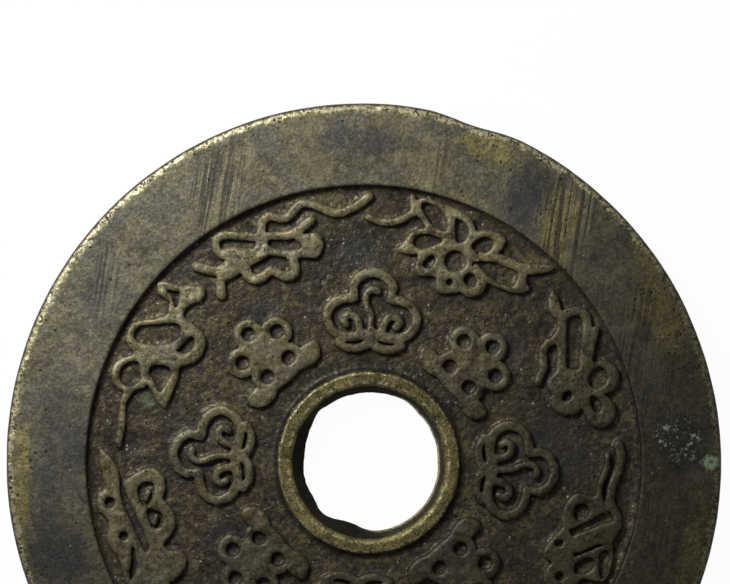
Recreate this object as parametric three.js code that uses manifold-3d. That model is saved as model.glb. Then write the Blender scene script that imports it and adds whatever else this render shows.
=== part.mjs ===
// A large charm coin, cast in brass: a broad plain rim, a sunken field with a ring of eight
// ribbon-tied emblems, an inner ring of cloud scrolls and plum blossoms, and a raised collar round
// the hole that the hanging cord goes through. The back has the same rim and collar, and is plain.
//
// Frame: millimetres, +Z up. The coin lies on its back, centred on the origin, with the back of its
// rim at z = 0 and the face of its rim at z = THICKNESS. Places on the coin are given by a radius
// and by an angle in degrees, clockwise from +Y, as on a clock face.
import * as THREE from "three";
import { mergeVertices } from "three/addons/utils/BufferGeometryUtils.js";
import Module from "manifold-3d";

const wasm = await Module();
wasm.setup();

// Driving dimensions
const DIAMETER = 60;
const THICKNESS = 3.2;
const RECESS = 0.75; // depth of the field below the rim, on each face
const RIM_WALL_RADIUS = 23.15; // where the rim's inner wall meets the field
const WALL_DRAFT = 0.2; // how far a wall leans back over the depth of the recess
const EDGE_ROUNDING = 0.45; // wear on the coin's outer edge
const OVALITY = 0.1; // how far the mould made the coin longer one way than across it
const OVALITY_ANGLE = -20;
const DIP_DEPTH = 0.36; // where the metal ran short at the edge
const DIP_ANGLE = 18;
const DIP_WIDTH = 5;

const COLLAR_RADIUS = 7.75; // where the collar's outer wall meets the field
const COLLAR_STEP = 0.1; // the collar's top lies this far below the rim
const COLLAR_ROUNDING = 0.15;
const HOLE_RADIUS = 6.35; // the hole at each face
const HOLE_NECK_RADIUS = 5.75; // the casting flash half way through, the narrowest place
const COLLAR_SHIFT = 0.4; // the collar was cut into the mould a little to the right
const NECK_SHIFT = 0.6;
const NECK_WIDEST_ANGLE = -48;
const NECK_WAVES = [[1, 0.12], [2, 0.1], [4, 0.08]]; // the flash's edge: waves round it, and height

const RELIEF_HEIGHT = 0.6; // of the cast figures above the field
const RELIEF_DRAFT = 0.16; // how much further each side stands out at the foot of a stroke
const TRIM = 0.2; // strokes are made this much taller and deeper, and trimmed once joined
const EMBLEM_RING_RADIUS = 19.2;
const MOTIF_RING_RADIUS = 12.4;

const END_ANGLES = [40, 76]; // where the rounded end of a stroke has its facets
const SEGMENTS = 68; // round the coin
const STEPS_PER_POINT = 8; // a curve is first drawn this finely, and then thinned
const CHORD_TOLERANCE = 0.05; // how far a facet of a stroke may lie from its curve
const SLIVER = 0.02; // edges shorter than this are closed up where strokes cross
const DRAWING_UNIT = 0.1; // the figures below are drawn in tenths of a millimetre

// Heights
const FACE = THICKNESS;
const FIELD = THICKNESS - RECESS;
const BACK_FIELD = RECESS;
const RELIEF_TOP = FIELD + RELIEF_HEIGHT;

const rad = THREE.MathUtils.degToRad;

// Rings: a closed profile of [radius, height] pairs carried round the coin

/** The point at an angle on a circle whose centre may be shifted along X. */
function clockPoint(radius, degrees, shift = 0) {
  return [shift + radius * Math.sin(rad(degrees)), radius * Math.cos(rad(degrees))];
}

/**
 * Carries a closed profile round the coin. profileAt(degrees) returns a list of
 * { radius, z, shift }, going anticlockwise when it is seen with the radius to the right.
 */
function ringGeometry(profileAt) {
  const positions = [];
  const indices = [];
  let count = 0;
  for (let i = 0; i < SEGMENTS; i += 1) {
    const degrees = (360 * i) / SEGMENTS;
    const profile = profileAt(degrees);
    count = profile.length;
    for (const { radius, z, shift } of profile) {
      positions.push(...clockPoint(radius, degrees, shift), z);
    }
  }
  for (let i = 0; i < SEGMENTS; i += 1) {
    const here = i * count;
    const next = ((i + 1) % SEGMENTS) * count;
    for (let j = 0; j < count; j += 1) {
      const k = (j + 1) % count;
      indices.push(here + j, here + k, next + j);
      indices.push(here + k, next + k, next + j);
    }
  }
  return indexed(positions, indices);
}

function indexed(positions, indices) {
  const geometry = new THREE.BufferGeometry();
  geometry.setAttribute("position", new THREE.Float32BufferAttribute(positions, 3));
  geometry.setIndex(indices);
  return geometry;
}

/**
 * The coin's outline: a circle, very slightly oval from the mould, with one shallow dip where
 * the metal ran short, just right of the top.
 */
function outlineRadius(degrees) {
  const ovality = OVALITY * Math.cos(2 * rad(degrees - OVALITY_ANGLE));
  const dip = DIP_DEPTH * Math.exp(-(((degrees - DIP_ANGLE) / DIP_WIDTH) ** 2));
  return DIAMETER / 2 + ovality - dip;
}

function rimProfile(degrees) {
  const outer = outlineRadius(degrees);
  const wallTop = RIM_WALL_RADIUS + WALL_DRAFT;
  const shoulder = 0.3 * EDGE_ROUNDING;
  return [
    { radius: wallTop, z: 0 },
    { radius: outer - EDGE_ROUNDING, z: 0 },
    { radius: outer - shoulder, z: shoulder },
    { radius: outer, z: EDGE_ROUNDING },
    { radius: outer, z: FACE - EDGE_ROUNDING },
    { radius: outer - shoulder, z: FACE - shoulder },
    { radius: outer - EDGE_ROUNDING, z: FACE },
    { radius: wallTop, z: FACE },
    { radius: RIM_WALL_RADIUS, z: FIELD },
    { radius: RIM_WALL_RADIUS, z: BACK_FIELD },
  ];
}

function fieldProfile() {
  return [
    { radius: COLLAR_RADIUS, z: BACK_FIELD, shift: COLLAR_SHIFT },
    { radius: RIM_WALL_RADIUS, z: BACK_FIELD },
    { radius: RIM_WALL_RADIUS, z: FIELD },
    { radius: COLLAR_RADIUS, z: FIELD, shift: COLLAR_SHIFT },
  ];
}

/** The uneven edge of the flash inside the hole, widest at the upper left. */
function neckRadius(degrees) {
  const fromWidest = rad(degrees - NECK_WIDEST_ANGLE);
  const waves = NECK_WAVES.map(([count, height]) => height * Math.cos(count * fromWidest));
  return waves.reduce((sum, wave) => sum + wave, HOLE_NECK_RADIUS);
}

function collarProfile(degrees) {
  const top = FACE - COLLAR_STEP;
  const shoulder = top - COLLAR_ROUNDING;
  const half = [
    { radius: COLLAR_RADIUS, z: FIELD },
    { radius: COLLAR_RADIUS - WALL_DRAFT, z: shoulder },
    { radius: COLLAR_RADIUS - WALL_DRAFT - COLLAR_ROUNDING, z: top },
    { radius: HOLE_RADIUS + COLLAR_ROUNDING, z: top },
    { radius: HOLE_RADIUS, z: shoulder },
  ];
  const upper = half.map((point) => ({ ...point, shift: COLLAR_SHIFT }));
  const lower = upper.map((point) => ({ ...point, z: THICKNESS - point.z })).reverse();
  const neck = { radius: neckRadius(degrees), z: THICKNESS / 2, shift: NECK_SHIFT };
  return [...upper, neck, ...lower];
}

// Strokes: the figures are low ridges and pads that stand on the field

const STROKE_FOOT = FIELD - TRIM;
const STROKE_TOP = RELIEF_TOP + TRIM;
const SIDE_LEAN = 0.5 * RELIEF_DRAFT * ((STROKE_TOP - STROKE_FOOT) / RELIEF_HEIGHT);

/** Keeps only the points of an open path that stand off the chords between those kept. */
function thinned(points) {
  const last = points.length - 1;
  const chord = new THREE.Line3(points[0], points[last]);
  const foot = new THREE.Vector3();
  let farthest = 0;
  let distance = 0;
  for (let i = 1; i < last; i += 1) {
    const offset = chord.closestPointToPoint(points[i], true, foot).distanceTo(points[i]);
    if (offset > distance) [farthest, distance] = [i, offset];
  }
  if (distance < CHORD_TOLERANCE) return [points[0], points[last]];
  const head = thinned(points.slice(0, farthest + 1));
  return [...head.slice(0, -1), ...thinned(points.slice(farthest))];
}

/** A smooth curve through a few drawn points, with no more facets than its bends need. */
function smooth(points, closed) {
  const vectors = points.map(([x, y]) => new THREE.Vector3(x, y, 0).multiplyScalar(DRAWING_UNIT));
  const curve = new THREE.CatmullRomCurve3(vectors, closed, "centripetal");
  const steps = vectors.length * STEPS_PER_POINT;
  const fine = curve.getPoints(steps);
  if (!closed) return thinned(fine);
  const middle = Math.floor(steps / 2);
  const firstHalf = thinned(fine.slice(0, middle + 1));
  const secondHalf = thinned(fine.slice(middle));
  return [...firstHalf.slice(0, -1), ...secondHalf.slice(0, -1)];
}

/** The unit direction of a path at one of its points, half way between its two chords there. */
function direction(path, i, closed) {
  const n = path.length;
  const before = closed ? path[(i + n - 1) % n] : path[Math.max(i - 1, 0)];
  const after = closed ? path[(i + 1) % n] : path[Math.min(i + 1, n - 1)];
  const arriving = path[i].clone().sub(before).normalize();
  const leaving = after.clone().sub(path[i]).normalize();
  return arriving.add(leaving).normalize();
}

/** One cross-section of a ridge: a trapezium, foot left, foot right, top right, top left. */
function section(centre, along, half, advance, narrowing) {
  const side = new THREE.Vector3(-along.y, along.x, 0);
  const corner = (reach, sign, z) => {
    const point = centre.clone().addScaledVector(along, advance * reach);
    point.addScaledVector(side, sign * reach * narrowing);
    return [point.x, point.y, z];
  };
  const [foot, top] = [half + SIDE_LEAN, half - SIDE_LEAN];
  return [
    corner(foot, 1, STROKE_FOOT), corner(foot, -1, STROKE_FOOT),
    corner(top, -1, STROKE_TOP), corner(top, 1, STROKE_TOP),
  ];
}

/** Lofts a ridge along a path. Its width is in drawing units and may run down to endWidth. */
function ridge(points, width, endWidth = width, closed = false) {
  const path = smooth(points, closed);
  const n = path.length;
  const halfAt = (i) => 0.5 * DRAWING_UNIT * (width + ((endWidth - width) * i) / Math.max(n - 1, 1));
  const sections = path.map((point, i) => (
    section(point, direction(path, i, closed), halfAt(i), 0, 1)));
  if (!closed) {
    const start = direction(path, 0, false);
    const end = direction(path, n - 1, false);
    for (const degrees of END_ANGLES) {
      const reach = Math.sin(rad(degrees));
      const narrowing = Math.cos(rad(degrees));
      sections.unshift(section(path[0], start, halfAt(0), -reach, narrowing));
      sections.push(section(path[n - 1], end, halfAt(n - 1), reach, narrowing));
    }
  }
  const indices = [];
  const total = sections.length;
  for (let i = 0; i < (closed ? total : total - 1); i += 1) {
    const here = 4 * i;
    const next = 4 * ((i + 1) % total);
    for (let j = 0; j < 4; j += 1) {
      const k = (j + 1) % 4;
      indices.push(here + j, next + j, here + k);
      indices.push(here + k, next + j, next + k);
    }
  }
  if (!closed) {
    const end = 4 * (total - 1);
    indices.push(0, 1, 2, 0, 2, 3, end, end + 2, end + 1, end, end + 3, end + 2);
  }
  return solidFrom(indexed(sections.flat(2), indices));
}

/** A ridge that closes on itself. */
const loop = (points, width) => ridge(points, width, width, true);

/**
 * A solid patch inside a smooth outline that is seen whole from its middle. Its sides lean inward
 * as they rise, or outward where the lean is negative.
 */
function pad(points, lean = SIDE_LEAN) {
  const outline = smooth(points, true);
  if (THREE.ShapeUtils.isClockWise(outline)) outline.reverse();
  const n = outline.length;
  const middle = outline.reduce((sum, point) => sum.add(point), new THREE.Vector3()).divideScalar(n);
  const level = (offset, z) => {
    const edge = outline.map((point, i) => {
      const along = direction(outline, i, true);
      return [point.x + along.y * offset, point.y - along.x * offset, z];
    });
    return [...edge, [middle.x, middle.y, z]];
  };
  const foot = level(lean, STROKE_FOOT);
  const top = level(-lean, STROKE_TOP);
  const topStart = n + 1;
  const indices = [];
  for (let i = 0; i < n; i += 1) {
    const k = (i + 1) % n;
    indices.push(i, k, topStart + i, k, topStart + k, topStart + i);
    indices.push(k, i, n, topStart + i, topStart + k, topStart + n);
  }
  return solidFrom(indexed([...foot, ...top].flat(), indices));
}

function circlePoints(x, y, radius, count = 8) {
  return Array.from({ length: count }, (_, i) => {
    const turn = (2 * Math.PI * i) / count;
    return [x + radius * Math.cos(turn), y + radius * Math.sin(turn)];
  });
}

const joined = (solids) => solids.reduce((sum, solid) => sum.add(solid));

/** Joins strokes and cuts openings down to the field through them, wider above than below. */
function cutBy(strokes, openings) {
  const cutters = openings.map((outline) => pad(outline, -SIDE_LEAN));
  return [joined(strokes).subtract(joined(cutters))];
}

/** A round patch about a point. */
const boss = (x, y, radius) => pad(circlePoints(x, y, radius));

/** Turns drawn points about the middle of their figure, anticlockwise. */
function turned(points, degrees) {
  const [c, s] = [Math.cos(rad(degrees)), Math.sin(rad(degrees))];
  return points.map(([x, y]) => [c * x - s * y, s * x + c * y]);
}

/** Mirrors drawn points from side to side. */
const mirrored = (points) => points.map(([x, y]) => [-x, y]);

function solidFrom(geometry) {
  const merged = mergeVertices(geometry, 1e-5);
  return new wasm.Manifold(new wasm.Mesh({
    numProp: 3,
    vertProperties: merged.attributes.position.array,
    triVerts: new Uint32Array(merged.index.array),
  }));
}

/** The layer between the field and the tops of the figures. */
function reliefLayer() {
  const box = new THREE.BoxGeometry(DIAMETER, DIAMETER, RELIEF_HEIGHT);
  box.translate(0, 0, (FIELD + RELIEF_TOP) / 2);
  box.deleteAttribute("normal");
  box.deleteAttribute("uv");
  return solidFrom(box);
}

/** Puts a height that closing the slivers has moved back on the plane it was trimmed to. */
function levelled(z) {
  const plane = [FIELD, RELIEF_TOP].find((height) => Math.abs(z - height) < 2 * SLIVER);
  return plane ?? z;
}

/** Joins a figure's strokes, trims them and sets the figure on its ring, upper side outward. */
function figureGeometry(strokes, ringRadius, degrees) {
  const mesh = reliefLayer().intersect(joined(strokes)).asOriginal().simplify(SLIVER).getMesh();
  const corners = Array.from(mesh.vertProperties, (value, i) => (i % 3 === 2 ? levelled(value) : value));
  const geometry = indexed(corners, Array.from(mesh.triVerts));
  geometry.translate(0, ringRadius, 0);
  geometry.rotateZ(-rad(degrees));
  return geometry;
}

// The eight emblems. Each is drawn about its place on the ring: x clockwise, y outward.

function ribbonScroll() {
  const strokes = [
    ridge([[-1, 12], [0, 20], [3, 26], [8.5, 29], [14, 28], [19, 23.5], [24, 21.5], [29, 23],
      [35, 26.5], [42, 27], [49, 23], [56, 15], [62, 9.5], [70, 6.5], [78, 6.5], [87, 7.5], [95, 10]],
      9.2, 8.5),
    ridge([[-3, 15], [4, 13.5], [11, 10.5], [20, 7.5], [30, 8], [42, 11.5]], 8.8),
    pad([[22, 6], [29, 4.5], [36, 2.5], [43, 0.5], [45.5, -4], [44.5, -11], [40, -17], [34, -20.5],
      [28, -18], [21, -12.5], [22, -6], [24, 0]]),
    ridge([[-1, 14], [-9, 19.5], [-18, 24], [-26, 28], [-33, 30.2], [-38.5, 27], [-40, 21], [-38, 15],
      [-32, 12]], 8.6),
    pad([[-45, 9], [-38, 9.5], [-37, 13], [-37, 20], [-27, 20], [-20, 15.5], [-13, 12], [-5, 15],
      [2, 15], [3, 8], [2, 2], [-3, -2], [-11, -3], [-19, -3.5], [-30, -5.5], [-44, -6]]),
    ridge([[-2, 3.5], [4, -0.5], [11, -4.8], [18, -8.5], [25, -11.5]], 8.8),
    ridge([[-25, -1], [-25, -9], [-21.5, -14.5], [-16, -16], [-9, -14.2], [-5, -12.8], [-1.5, -17],
      [3, -22.5], [8.5, -24.5], [13, -22], [14.5, -16], [15, -9]], 10.2),
    ridge([[-61.5, 15.5], [-56, 10.5], [-50, 6], [-42, 3]], 9.6),
    ridge([[-52, -15.5], [-50.5, -10], [-47.5, -4], [-42, 2]], 9.6),
  ];
  return cutBy(strokes, [
    [[-35, 24.5], [-30, 25.2], [-22, 21.3], [-14, 16], [-9, 12.3], [-14, 11], [-20, 14.5],
      [-27, 19], [-34, 21.5]],
    [[1.5, 8.5], [4.5, 9.5], [11, 6], [18, 2.5], [25, -1], [26, -4.5], [23, -6], [17, -4],
      [10, -0.5], [4, 3.5]],
  ]);
}

function lotus() {
  const strokes = [
    ridge([[-43, 18], [-47, 12], [-52, 6], [-60, 0.8], [-69, -1.3], [-77, -1.5]], 8, 7.4),
    ridge([[-49.2, 28.8], [-46.5, 24], [-43, 17]], 6.6, 8),
    pad([[-45.5, 28], [-41, 32.8], [-30, 34.4], [-15, 34.8], [-4, 34.4], [3, 32], [8, 27.5],
      [13, 22], [14, 12], [8, 4], [-2, 3], [-12, 6], [-22, 8.5], [-30, 9], [-36, 13.5], [-43, 15],
      [-47, 20]]),
    pad([[-29, 9.5], [-37, 5], [-41, -2], [-42, -9], [-45, -18], [-37, -18.2], [-29, -15.5],
      [-22, -12], [-12, -3], [-5, 2], [-8, 8], [-19, 10]]),
    pad([[-28, -11], [-26.5, -17], [-26.5, -23], [-25, -28.5], [-20, -30.5], [-14, -29.5],
      [-10, -27], [-3, -26], [-2, -16], [-5, -7], [-9, 0], [-15, 0], [-22, -6]]),
    boss(3.5, -7, 16.5),
    pad([[-7, -20], [-5, -27], [-4.5, -33], [-1, -37.5], [5, -37.5], [11, -34], [17, -31],
      [20, -24], [15, -16], [0, -15]]),
    pad([[13, -12], [19, -5.5], [28, -5.5], [34, -9], [37.5, -15], [37, -22], [33, -28], [27, -31],
      [20, -30.5], [14, -28], [11, -20]]),
    pad([[9, 21], [13, 26], [21, 29], [30, 29.5], [36.5, 28], [38, 22], [37, 16], [34, 11], [26, 4],
      [16, 1], [9, 7]]),
    ridge([[12, 0], [23, 5], [34, 9], [46, 9.5], [58, 10]], 9.6),
    pad([[46, 9], [55, 14], [66, 17.5], [76, 21.5], [83.5, 21.2], [82, 16.5], [73, 9.5], [63, 5],
      [53, 4.5]]),
    pad([[55, 9], [57, 2], [56.5, -6], [56, -12], [63, -12], [71, -7], [72, -3], [67, 0], [65, 6]]),
    ridge([[22, -4], [31, -8.3], [38, -10.8], [48, -11.4], [58, -10.5]], 6),
  ];
  return cutBy(strokes, [
    [[-39.5, 26.3], [-33, 28.8], [-26, 28.4], [-19.5, 25], [-15.5, 19], [-12.5, 14], [-18, 13],
      [-26, 14.6], [-33, 19]],
    [[-9, 26.3], [-4, 26], [2, 24], [4.5, 19], [4.5, 13], [2, 9.2], [-0.5, 9.8], [-4, 15], [-7, 21]],
    [[12.8, 10], [14, 14.5], [18, 20], [24, 22], [28, 20], [27.5, 14.5], [25, 9.8], [18, 8.4]],
    [[-33.5, 0], [-28, 3.5], [-21, 5.3], [-13, 5], [-15, 1], [-20, -3.5], [-26, -8], [-32.5, -7.5],
      [-34.3, -4]],
    [[-14.5, -9.5], [-12, -12], [-12, -17], [-15, -20.5], [-19, -20.5], [-18.5, -15], [-16.5, -11]],
    circlePoints(4.5, -6.8, 8.4),
    circlePoints(7, -25, 2.5),
    [[20, -10.8], [24, -12.2], [27.3, -16], [26.3, -20.3], [22, -21.3], [17.3, -18.3], [17.7, -14]],
  ]);
}

function ribbonLoops() {
  const strokes = [
    pad([[31, 11], [36, 13.8], [42, 15], [42.5, 22], [43, 27.5], [47, 29.8], [51, 32.2], [55, 30],
      [57.5, 25], [58.5, 18], [61, 11], [65, 4], [68.5, -2], [66.5, -7], [60, -9.3], [54, -8.3],
      [49.5, -3], [44, -0.5], [37, -2], [31, -3]]),
    pad([[-9, 21], [-7.5, 28], [-3, 33], [3, 35.4], [9, 35.4], [14, 33.8], [18.5, 29], [22, 22.8],
      [27, 16.8], [33, 12], [37, 5], [37, -4], [30, -10], [20, -11.5], [10, -9], [2, 0], [-4, 10]]),
    pad([[-1, -17], [2, -24], [8, -29], [15, -31], [23, -30.5], [30, -27], [34, -21], [35.5, -12],
      [36.5, -2], [30, -4], [20, -8], [10, -5], [2, -5]]),
    pad([[-12, 22], [-4, 22], [1, 15], [5.5, 7], [8.5, -1], [8.5, -8], [8.5, -15], [4, -19.5],
      [-2, -19.5], [-6, -14], [-5, -6], [-9, 3], [-14, 8], [-14, 15]]),
    pad([[-42.5, 12], [-42, 20], [-38, 27.2], [-31, 31.7], [-24, 31.7], [-17, 28.5], [-11, 22.5],
      [-7, 17], [-7, 9], [-16, 4], [-24, 0], [-30, -2], [-35, 3], [-40, 7]]),
    pad([[-21, 8], [-27, 0], [-32, -8], [-38.5, -18], [-38.5, -24], [-30, -24.5], [-18, -23],
      [-8, -21.5], [0, -17], [3, -8], [-1, 4], [-10, 9]]),
    ridge([[-37, 9], [-48, 10.3], [-57, 7], [-66, 2.5], [-75, -1], [-83, -3.5]], 8.2, 7.4),
  ];
  return cutBy(strokes, [
    [[49.8, 22.3], [51.8, 16], [53, 11.5], [47, 9.5], [39.5, 7.5], [44, 11], [48.5, 15]],
    [[1.5, 20], [2, 26], [7.5, 28.3], [13, 26.5], [17, 20.5], [22, 12.5], [27, 5], [29, 0],
      [26.5, -4.5], [20, -5], [13, -1.5], [8, 5], [4, 12]],
    [[8, -9], [14, -11.8], [20, -13.4], [25, -15], [25, -18], [20, -19.8], [14.5, -18.8],
      [10.5, -15.5]],
    [[-36.3, 15], [-34, 20.5], [-29, 23.5], [-23, 23.5], [-18, 20], [-14.8, 14], [-20, 11],
      [-26, 6.3], [-31, 8], [-35, 12]],
    [[-17.5, 2], [-12, 2], [-9, -2], [-6.8, -8], [-8.5, -13], [-15, -13.8], [-22, -13.8],
      [-27.5, -13.8], [-24, -8.5], [-20.5, -2.5]],
  ]);
}

function gourd() {
  const strokes = [
    pad([[-61.5, 14], [-58, 7.5], [-52, 3.5], [-44, 2.5], [-37, 5], [-35, 11], [-44, 13.5],
      [-53, 16]]),
    ridge([[-37, 9], [-38, 18], [-36, 25.5], [-30, 29], [-22, 27], [-12, 20.5], [-2, 14], [8, 8],
      [16, 4]], 9.6),
    ridge([[-36, 10], [-28, 6], [-18, 1], [-8, -4], [2, -9], [12, -14]], 9.8),
    ridge([[-15, 31.5], [-10, 27.5], [-4, 22.5], [3, 17.5], [11, 12]], 7.6),
    ridge([[-26, 4], [-22, -3], [-22.5, -10], [-19, -16], [-12, -19], [-5, -22.5], [0, -28],
      [3, -31.5]], 9.2, 8.6),
    pad([[1, -10], [6, 2], [14, 9], [24, 8], [30, 0], [26, -10], [21, -22], [13, -28], [6, -26],
      [2, -18]]),
    pad([[13, -8], [20, -2], [30, -2], [38, -6], [42, -14], [40, -22], [34, -28.5], [26, -31.5],
      [19, -30.5], [17, -24], [13, -16]]),
    pad([[9, 25], [14, 30.5], [22, 34], [30, 33], [36, 28], [38.5, 20], [36, 12], [30, 4], [20, 2],
      [12, 7], [8, 16]]),
    pad([[28, 10], [36, 14.5], [45, 19], [53, 18], [60, 13], [63, 5], [61, -3], [55, -8.5],
      [47, -9.5], [38, -8], [27, -6], [23, 0]]),
  ];
  return cutBy(strokes, [
    [[15, 19.5], [19, 22.8], [25, 22], [28.7, 18], [29.3, 12], [26, 7.5], [20, 8], [16, 13]],
    [[33.5, 3.5], [38, 1.5], [45, 1], [48.5, 3.5], [44.5, 7], [37, 7]],
    [[22.5, -11], [26, -12], [27.3, -16], [25.5, -19.5], [22.5, -17.5]],
  ]);
}

function clappers() {
  const strokes = [
    ridge([[-77, 7.5], [-70, 11.5], [-60, 13.8], [-50, 13.3], [-40, 12.6], [-30, 14.5], [-24, 19],
      [-19, 24.5], [-11, 27]], 9.2),
    ridge([[-66, 1], [-57, 3.8], [-47, 3.2], [-38, 2.6], [-30, 5], [-24, 10]], 6.6),
    pad([[-31, 1], [-30, -8], [-28, -16], [-20, -20], [-10, -22], [0, -20], [6, -15], [3.5, -9.5],
      [-4, -1.5], [-11, 6], [-17, 13], [-22, 17], [-27, 9]]),
    pad([[-16, 27], [-10, 29.5], [-2, 29.3], [5, 27], [8, 17], [14, 9], [21, 1], [20, -6], [12, -10],
      [6.5, -7], [0, 1.5], [-7.5, 9.5], [-13, 17]]),
    pad([[4, 27], [10, 31], [20, 32.5], [30, 32.5], [38, 29], [40, 20], [40, 12], [50, 9], [58, 3],
      [57, -5], [55, -14], [50, -20.5], [42, -21.5], [34, -18], [31, -10], [24, -1], [16.5, 8],
      [10, 16]]),
    pad([[2, -16], [8, -20.5], [18, -25.5], [26, -28], [32, -26], [34, -18], [33, -8], [25, 0],
      [14, -5], [5, -9]]),
    ridge([[44, 5], [54, 6.5], [61, 10], [67, 9], [73, 5]], 9, 8),
  ];
  return cutBy(strokes, [
    [[-20, -4], [-14, 0], [-8.5, -2], [-6, -7], [-10, -11], [-17, -11]],
    [[11, 23.5], [15, 27.5], [23, 27.5], [31, 28.7], [35.3, 26.5], [30, 24], [22, 21.5], [15, 20.5]],
    [[21, 13.5], [25, 16.8], [31, 15], [35, 10], [36, 4], [31, 3], [25, 7]],
    circlePoints(43, -7.5, 3.2),
    [[14, -13.5], [18, -13.5], [19.5, -17.5], [16, -19]],
  ]);
}

function doubleLozenge() {
  const lozenge = (x) => loop([[x - 24, 0], [x - 12, 11], [x, 23], [x + 12, 11], [x + 24, 0],
    [x + 12, -12], [x, -24], [x - 12, -12]], 9.2);
  const ribbon = [[34, 2], [43, 10], [50, 19], [58, 18], [63, 9], [70, 4], [77, 7]];
  const under = [[34, -1], [43, -7], [50, -14], [57, -11]];
  return [
    lozenge(-12),
    lozenge(12),
    boss(0, 0, 8.5),
    ridge(ribbon, 9, 8),
    ridge(mirrored(ribbon), 9, 8),
    ridge(under, 9),
    ridge(mirrored(under), 9),
  ];
}

function endlessKnot() {
  const oval = [[-27, 0], [-21, 10], [0, 10], [21, 10], [27, 0], [21, -10], [0, -10], [-21, -10]];
  const ribbon = [[21, 15], [28, 12], [36, 17], [44, 21], [52, 15], [60, 10], [68, 12], [75, 9]];
  const under = [[21, -15], [28, -11], [36, -12], [45, -7], [52, -12], [54, -18]];
  return [
    loop(turned(oval, 45), 8.4),
    loop(turned(oval, -45), 8.4),
    ridge(ribbon, 9, 8),
    ridge(mirrored(ribbon), 9, 8),
    ridge(under, 9, 8.4),
    ridge(mirrored(under), 9, 8.4),
  ];
}

function twinFish() {
  const strokes = [
    pad([[-46, 26], [-36, 29], [-22, 28.5], [-12, 30.5], [-4, 33], [3, 33], [10, 29.5], [16, 26.8],
      [20, 29.5], [27, 32.5], [35, 32.5], [41, 29], [44, 22], [52, 21.5], [64, 21], [72, 18.5],
      [78, 15.3], [72, 11], [63, 7], [52, 5.5], [42, 8], [30, 10.5], [15, 9], [0, 7], [-12, 4.5],
      [-24, 3], [-36, 6], [-46, 10]]),
    pad([[-22, 0.5], [-10, 1.5], [5, 3], [20, 5], [34, 6.5], [43, 6.5], [46.5, 0], [49, -8], [50, -16],
      [47, -24], [40, -28.5], [31, -28.8], [25, -26.5], [20, -22.5], [15, -26], [9, -28.5],
      [2, -28.8], [-6, -26], [-12, -20], [-17, -12], [-24, -8]]),
    pad([[-50, 12], [-48, -14], [-42, -23.5], [-33, -27.5], [-26, -25.5], [-22, -17], [-16, -11],
      [-14, -4], [-16, 2], [-24, 8], [-36, 14]]),
    ridge([[-42, 25], [-54, 20], [-64, 14], [-72, 15], [-79, 11]], 9, 8),
    ridge([[-44, 0], [-54, -4], [-62, 1], [-70, -2]], 9, 8),
  ];
  const islands = [
    ridge([[3, -9.5], [8, -13]], 5.5),
    ridge([[24, -8], [30, -12.5]], 5.5),
  ];
  const cut = cutBy(strokes, [
    circlePoints(0.3, 18.3, 3.2),
    circlePoints(30.5, 21.3, 4),
    [[-39, 24], [-33, 19.5], [-25, 15.3], [-15, 13.6], [-8, 13.8], [-16, 16], [-25, 18.5], [-33, 22.5]],
    [[-0.5, -7.3], [7, -6.2], [14, -6], [15.5, -8.5], [12.5, -13], [9, -17], [3, -16.5], [-1, -12.5]],
    [[19.5, -5], [28, -3.8], [34, -4.5], [37.3, -10], [36.5, -16], [33, -18], [27, -15.5], [21, -11]],
  ]);
  return [...cut, ...islands];
}

// The inner ring's two motifs, drawn the same way

function cloudScroll() {
  const curl = [[9, -16], [10.5, -8], [14, -2], [20, -1], [24, -5.5], [21, -9.5]];
  const wisp = [[0, -15], [2, -24], [10, -28.5], [20, -28.5], [27, -24.5]];
  return [
    loop([[0, -15], [-10, -18], [-23, -19], [-33, -14], [-38, -2], [-33, 8], [-23, 13], [-15, 14],
      [-17, 23], [-11, 32], [0, 36], [11, 32], [17, 23], [15, 14], [23, 13], [33, 8], [38, -2],
      [33, -14], [23, -19], [10, -18]], 9.6),
    ridge(curl, 8),
    ridge(mirrored(curl), 8),
    ridge([[0, -14], [0, -6], [-1, 1], [-5, 8], [-6, 15], [-2, 21], [4, 20]], 7),
    ridge(wisp, 9.6, 8),
    ridge(mirrored(wisp), 9.6, 8),
  ];
}

function plumBlossom() {
  const petals = [0, 72, 144, 216, 288].map((degrees) => (
    loop(turned(circlePoints(0, 20.5, 9.5), degrees), 8.6)
  ));
  const leaf = [[9, -28], [21, -35], [34, -33], [40, -21], [29, -16], [18, -20]];
  return [
    ...petals,
    boss(0, 0, 14.5),
    pad(leaf),
    pad(mirrored(leaf)),
    ridge([[-14, -26], [0, -27], [14, -26]], 11),
  ];
}

// Scene

const RUBBED_RIM = { color: 0x6b6651, roughness: 0.5, metalness: 0.8 };
const DARK_FIELD = { color: 0x3a352a, roughness: 0.75, metalness: 0.4 };
const HANDLED_COLLAR = { color: 0x645e43, roughness: 0.45, metalness: 0.85 };
const WORN_RELIEF = { color: 0x7a745a, roughness: 0.45, metalness: 0.85 };

function namedMesh(name, geometry, finish) {
  const mesh = new THREE.Mesh(geometry, new THREE.MeshStandardMaterial(finish));
  mesh.name = name;
  return mesh;
}

const coin = new THREE.Group();
coin.add(namedMesh("outer_rim", ringGeometry(rimProfile), RUBBED_RIM));
coin.add(namedMesh("field_web", ringGeometry(fieldProfile), DARK_FIELD));
coin.add(namedMesh("hole_collar", ringGeometry(collarProfile), HANDLED_COLLAR));

const emblems = [
  ["emblem_ribbon_scroll", ribbonScroll, -24],
  ["emblem_lotus", lotus, 23],
  ["emblem_gourd", gourd, 64],
  ["emblem_clappers", clappers, 107],
  ["emblem_double_lozenge", doubleLozenge, 152],
  ["emblem_endless_knot", endlessKnot, 208],
  ["emblem_twin_fish", twinFish, 253],
  ["emblem_ribbon_loops", ribbonLoops, 298],
];
for (const [name, strokes, degrees] of emblems) {
  const geometry = figureGeometry(strokes(), EMBLEM_RING_RADIUS, degrees);
  coin.add(namedMesh(name, geometry, WORN_RELIEF));
}

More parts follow.
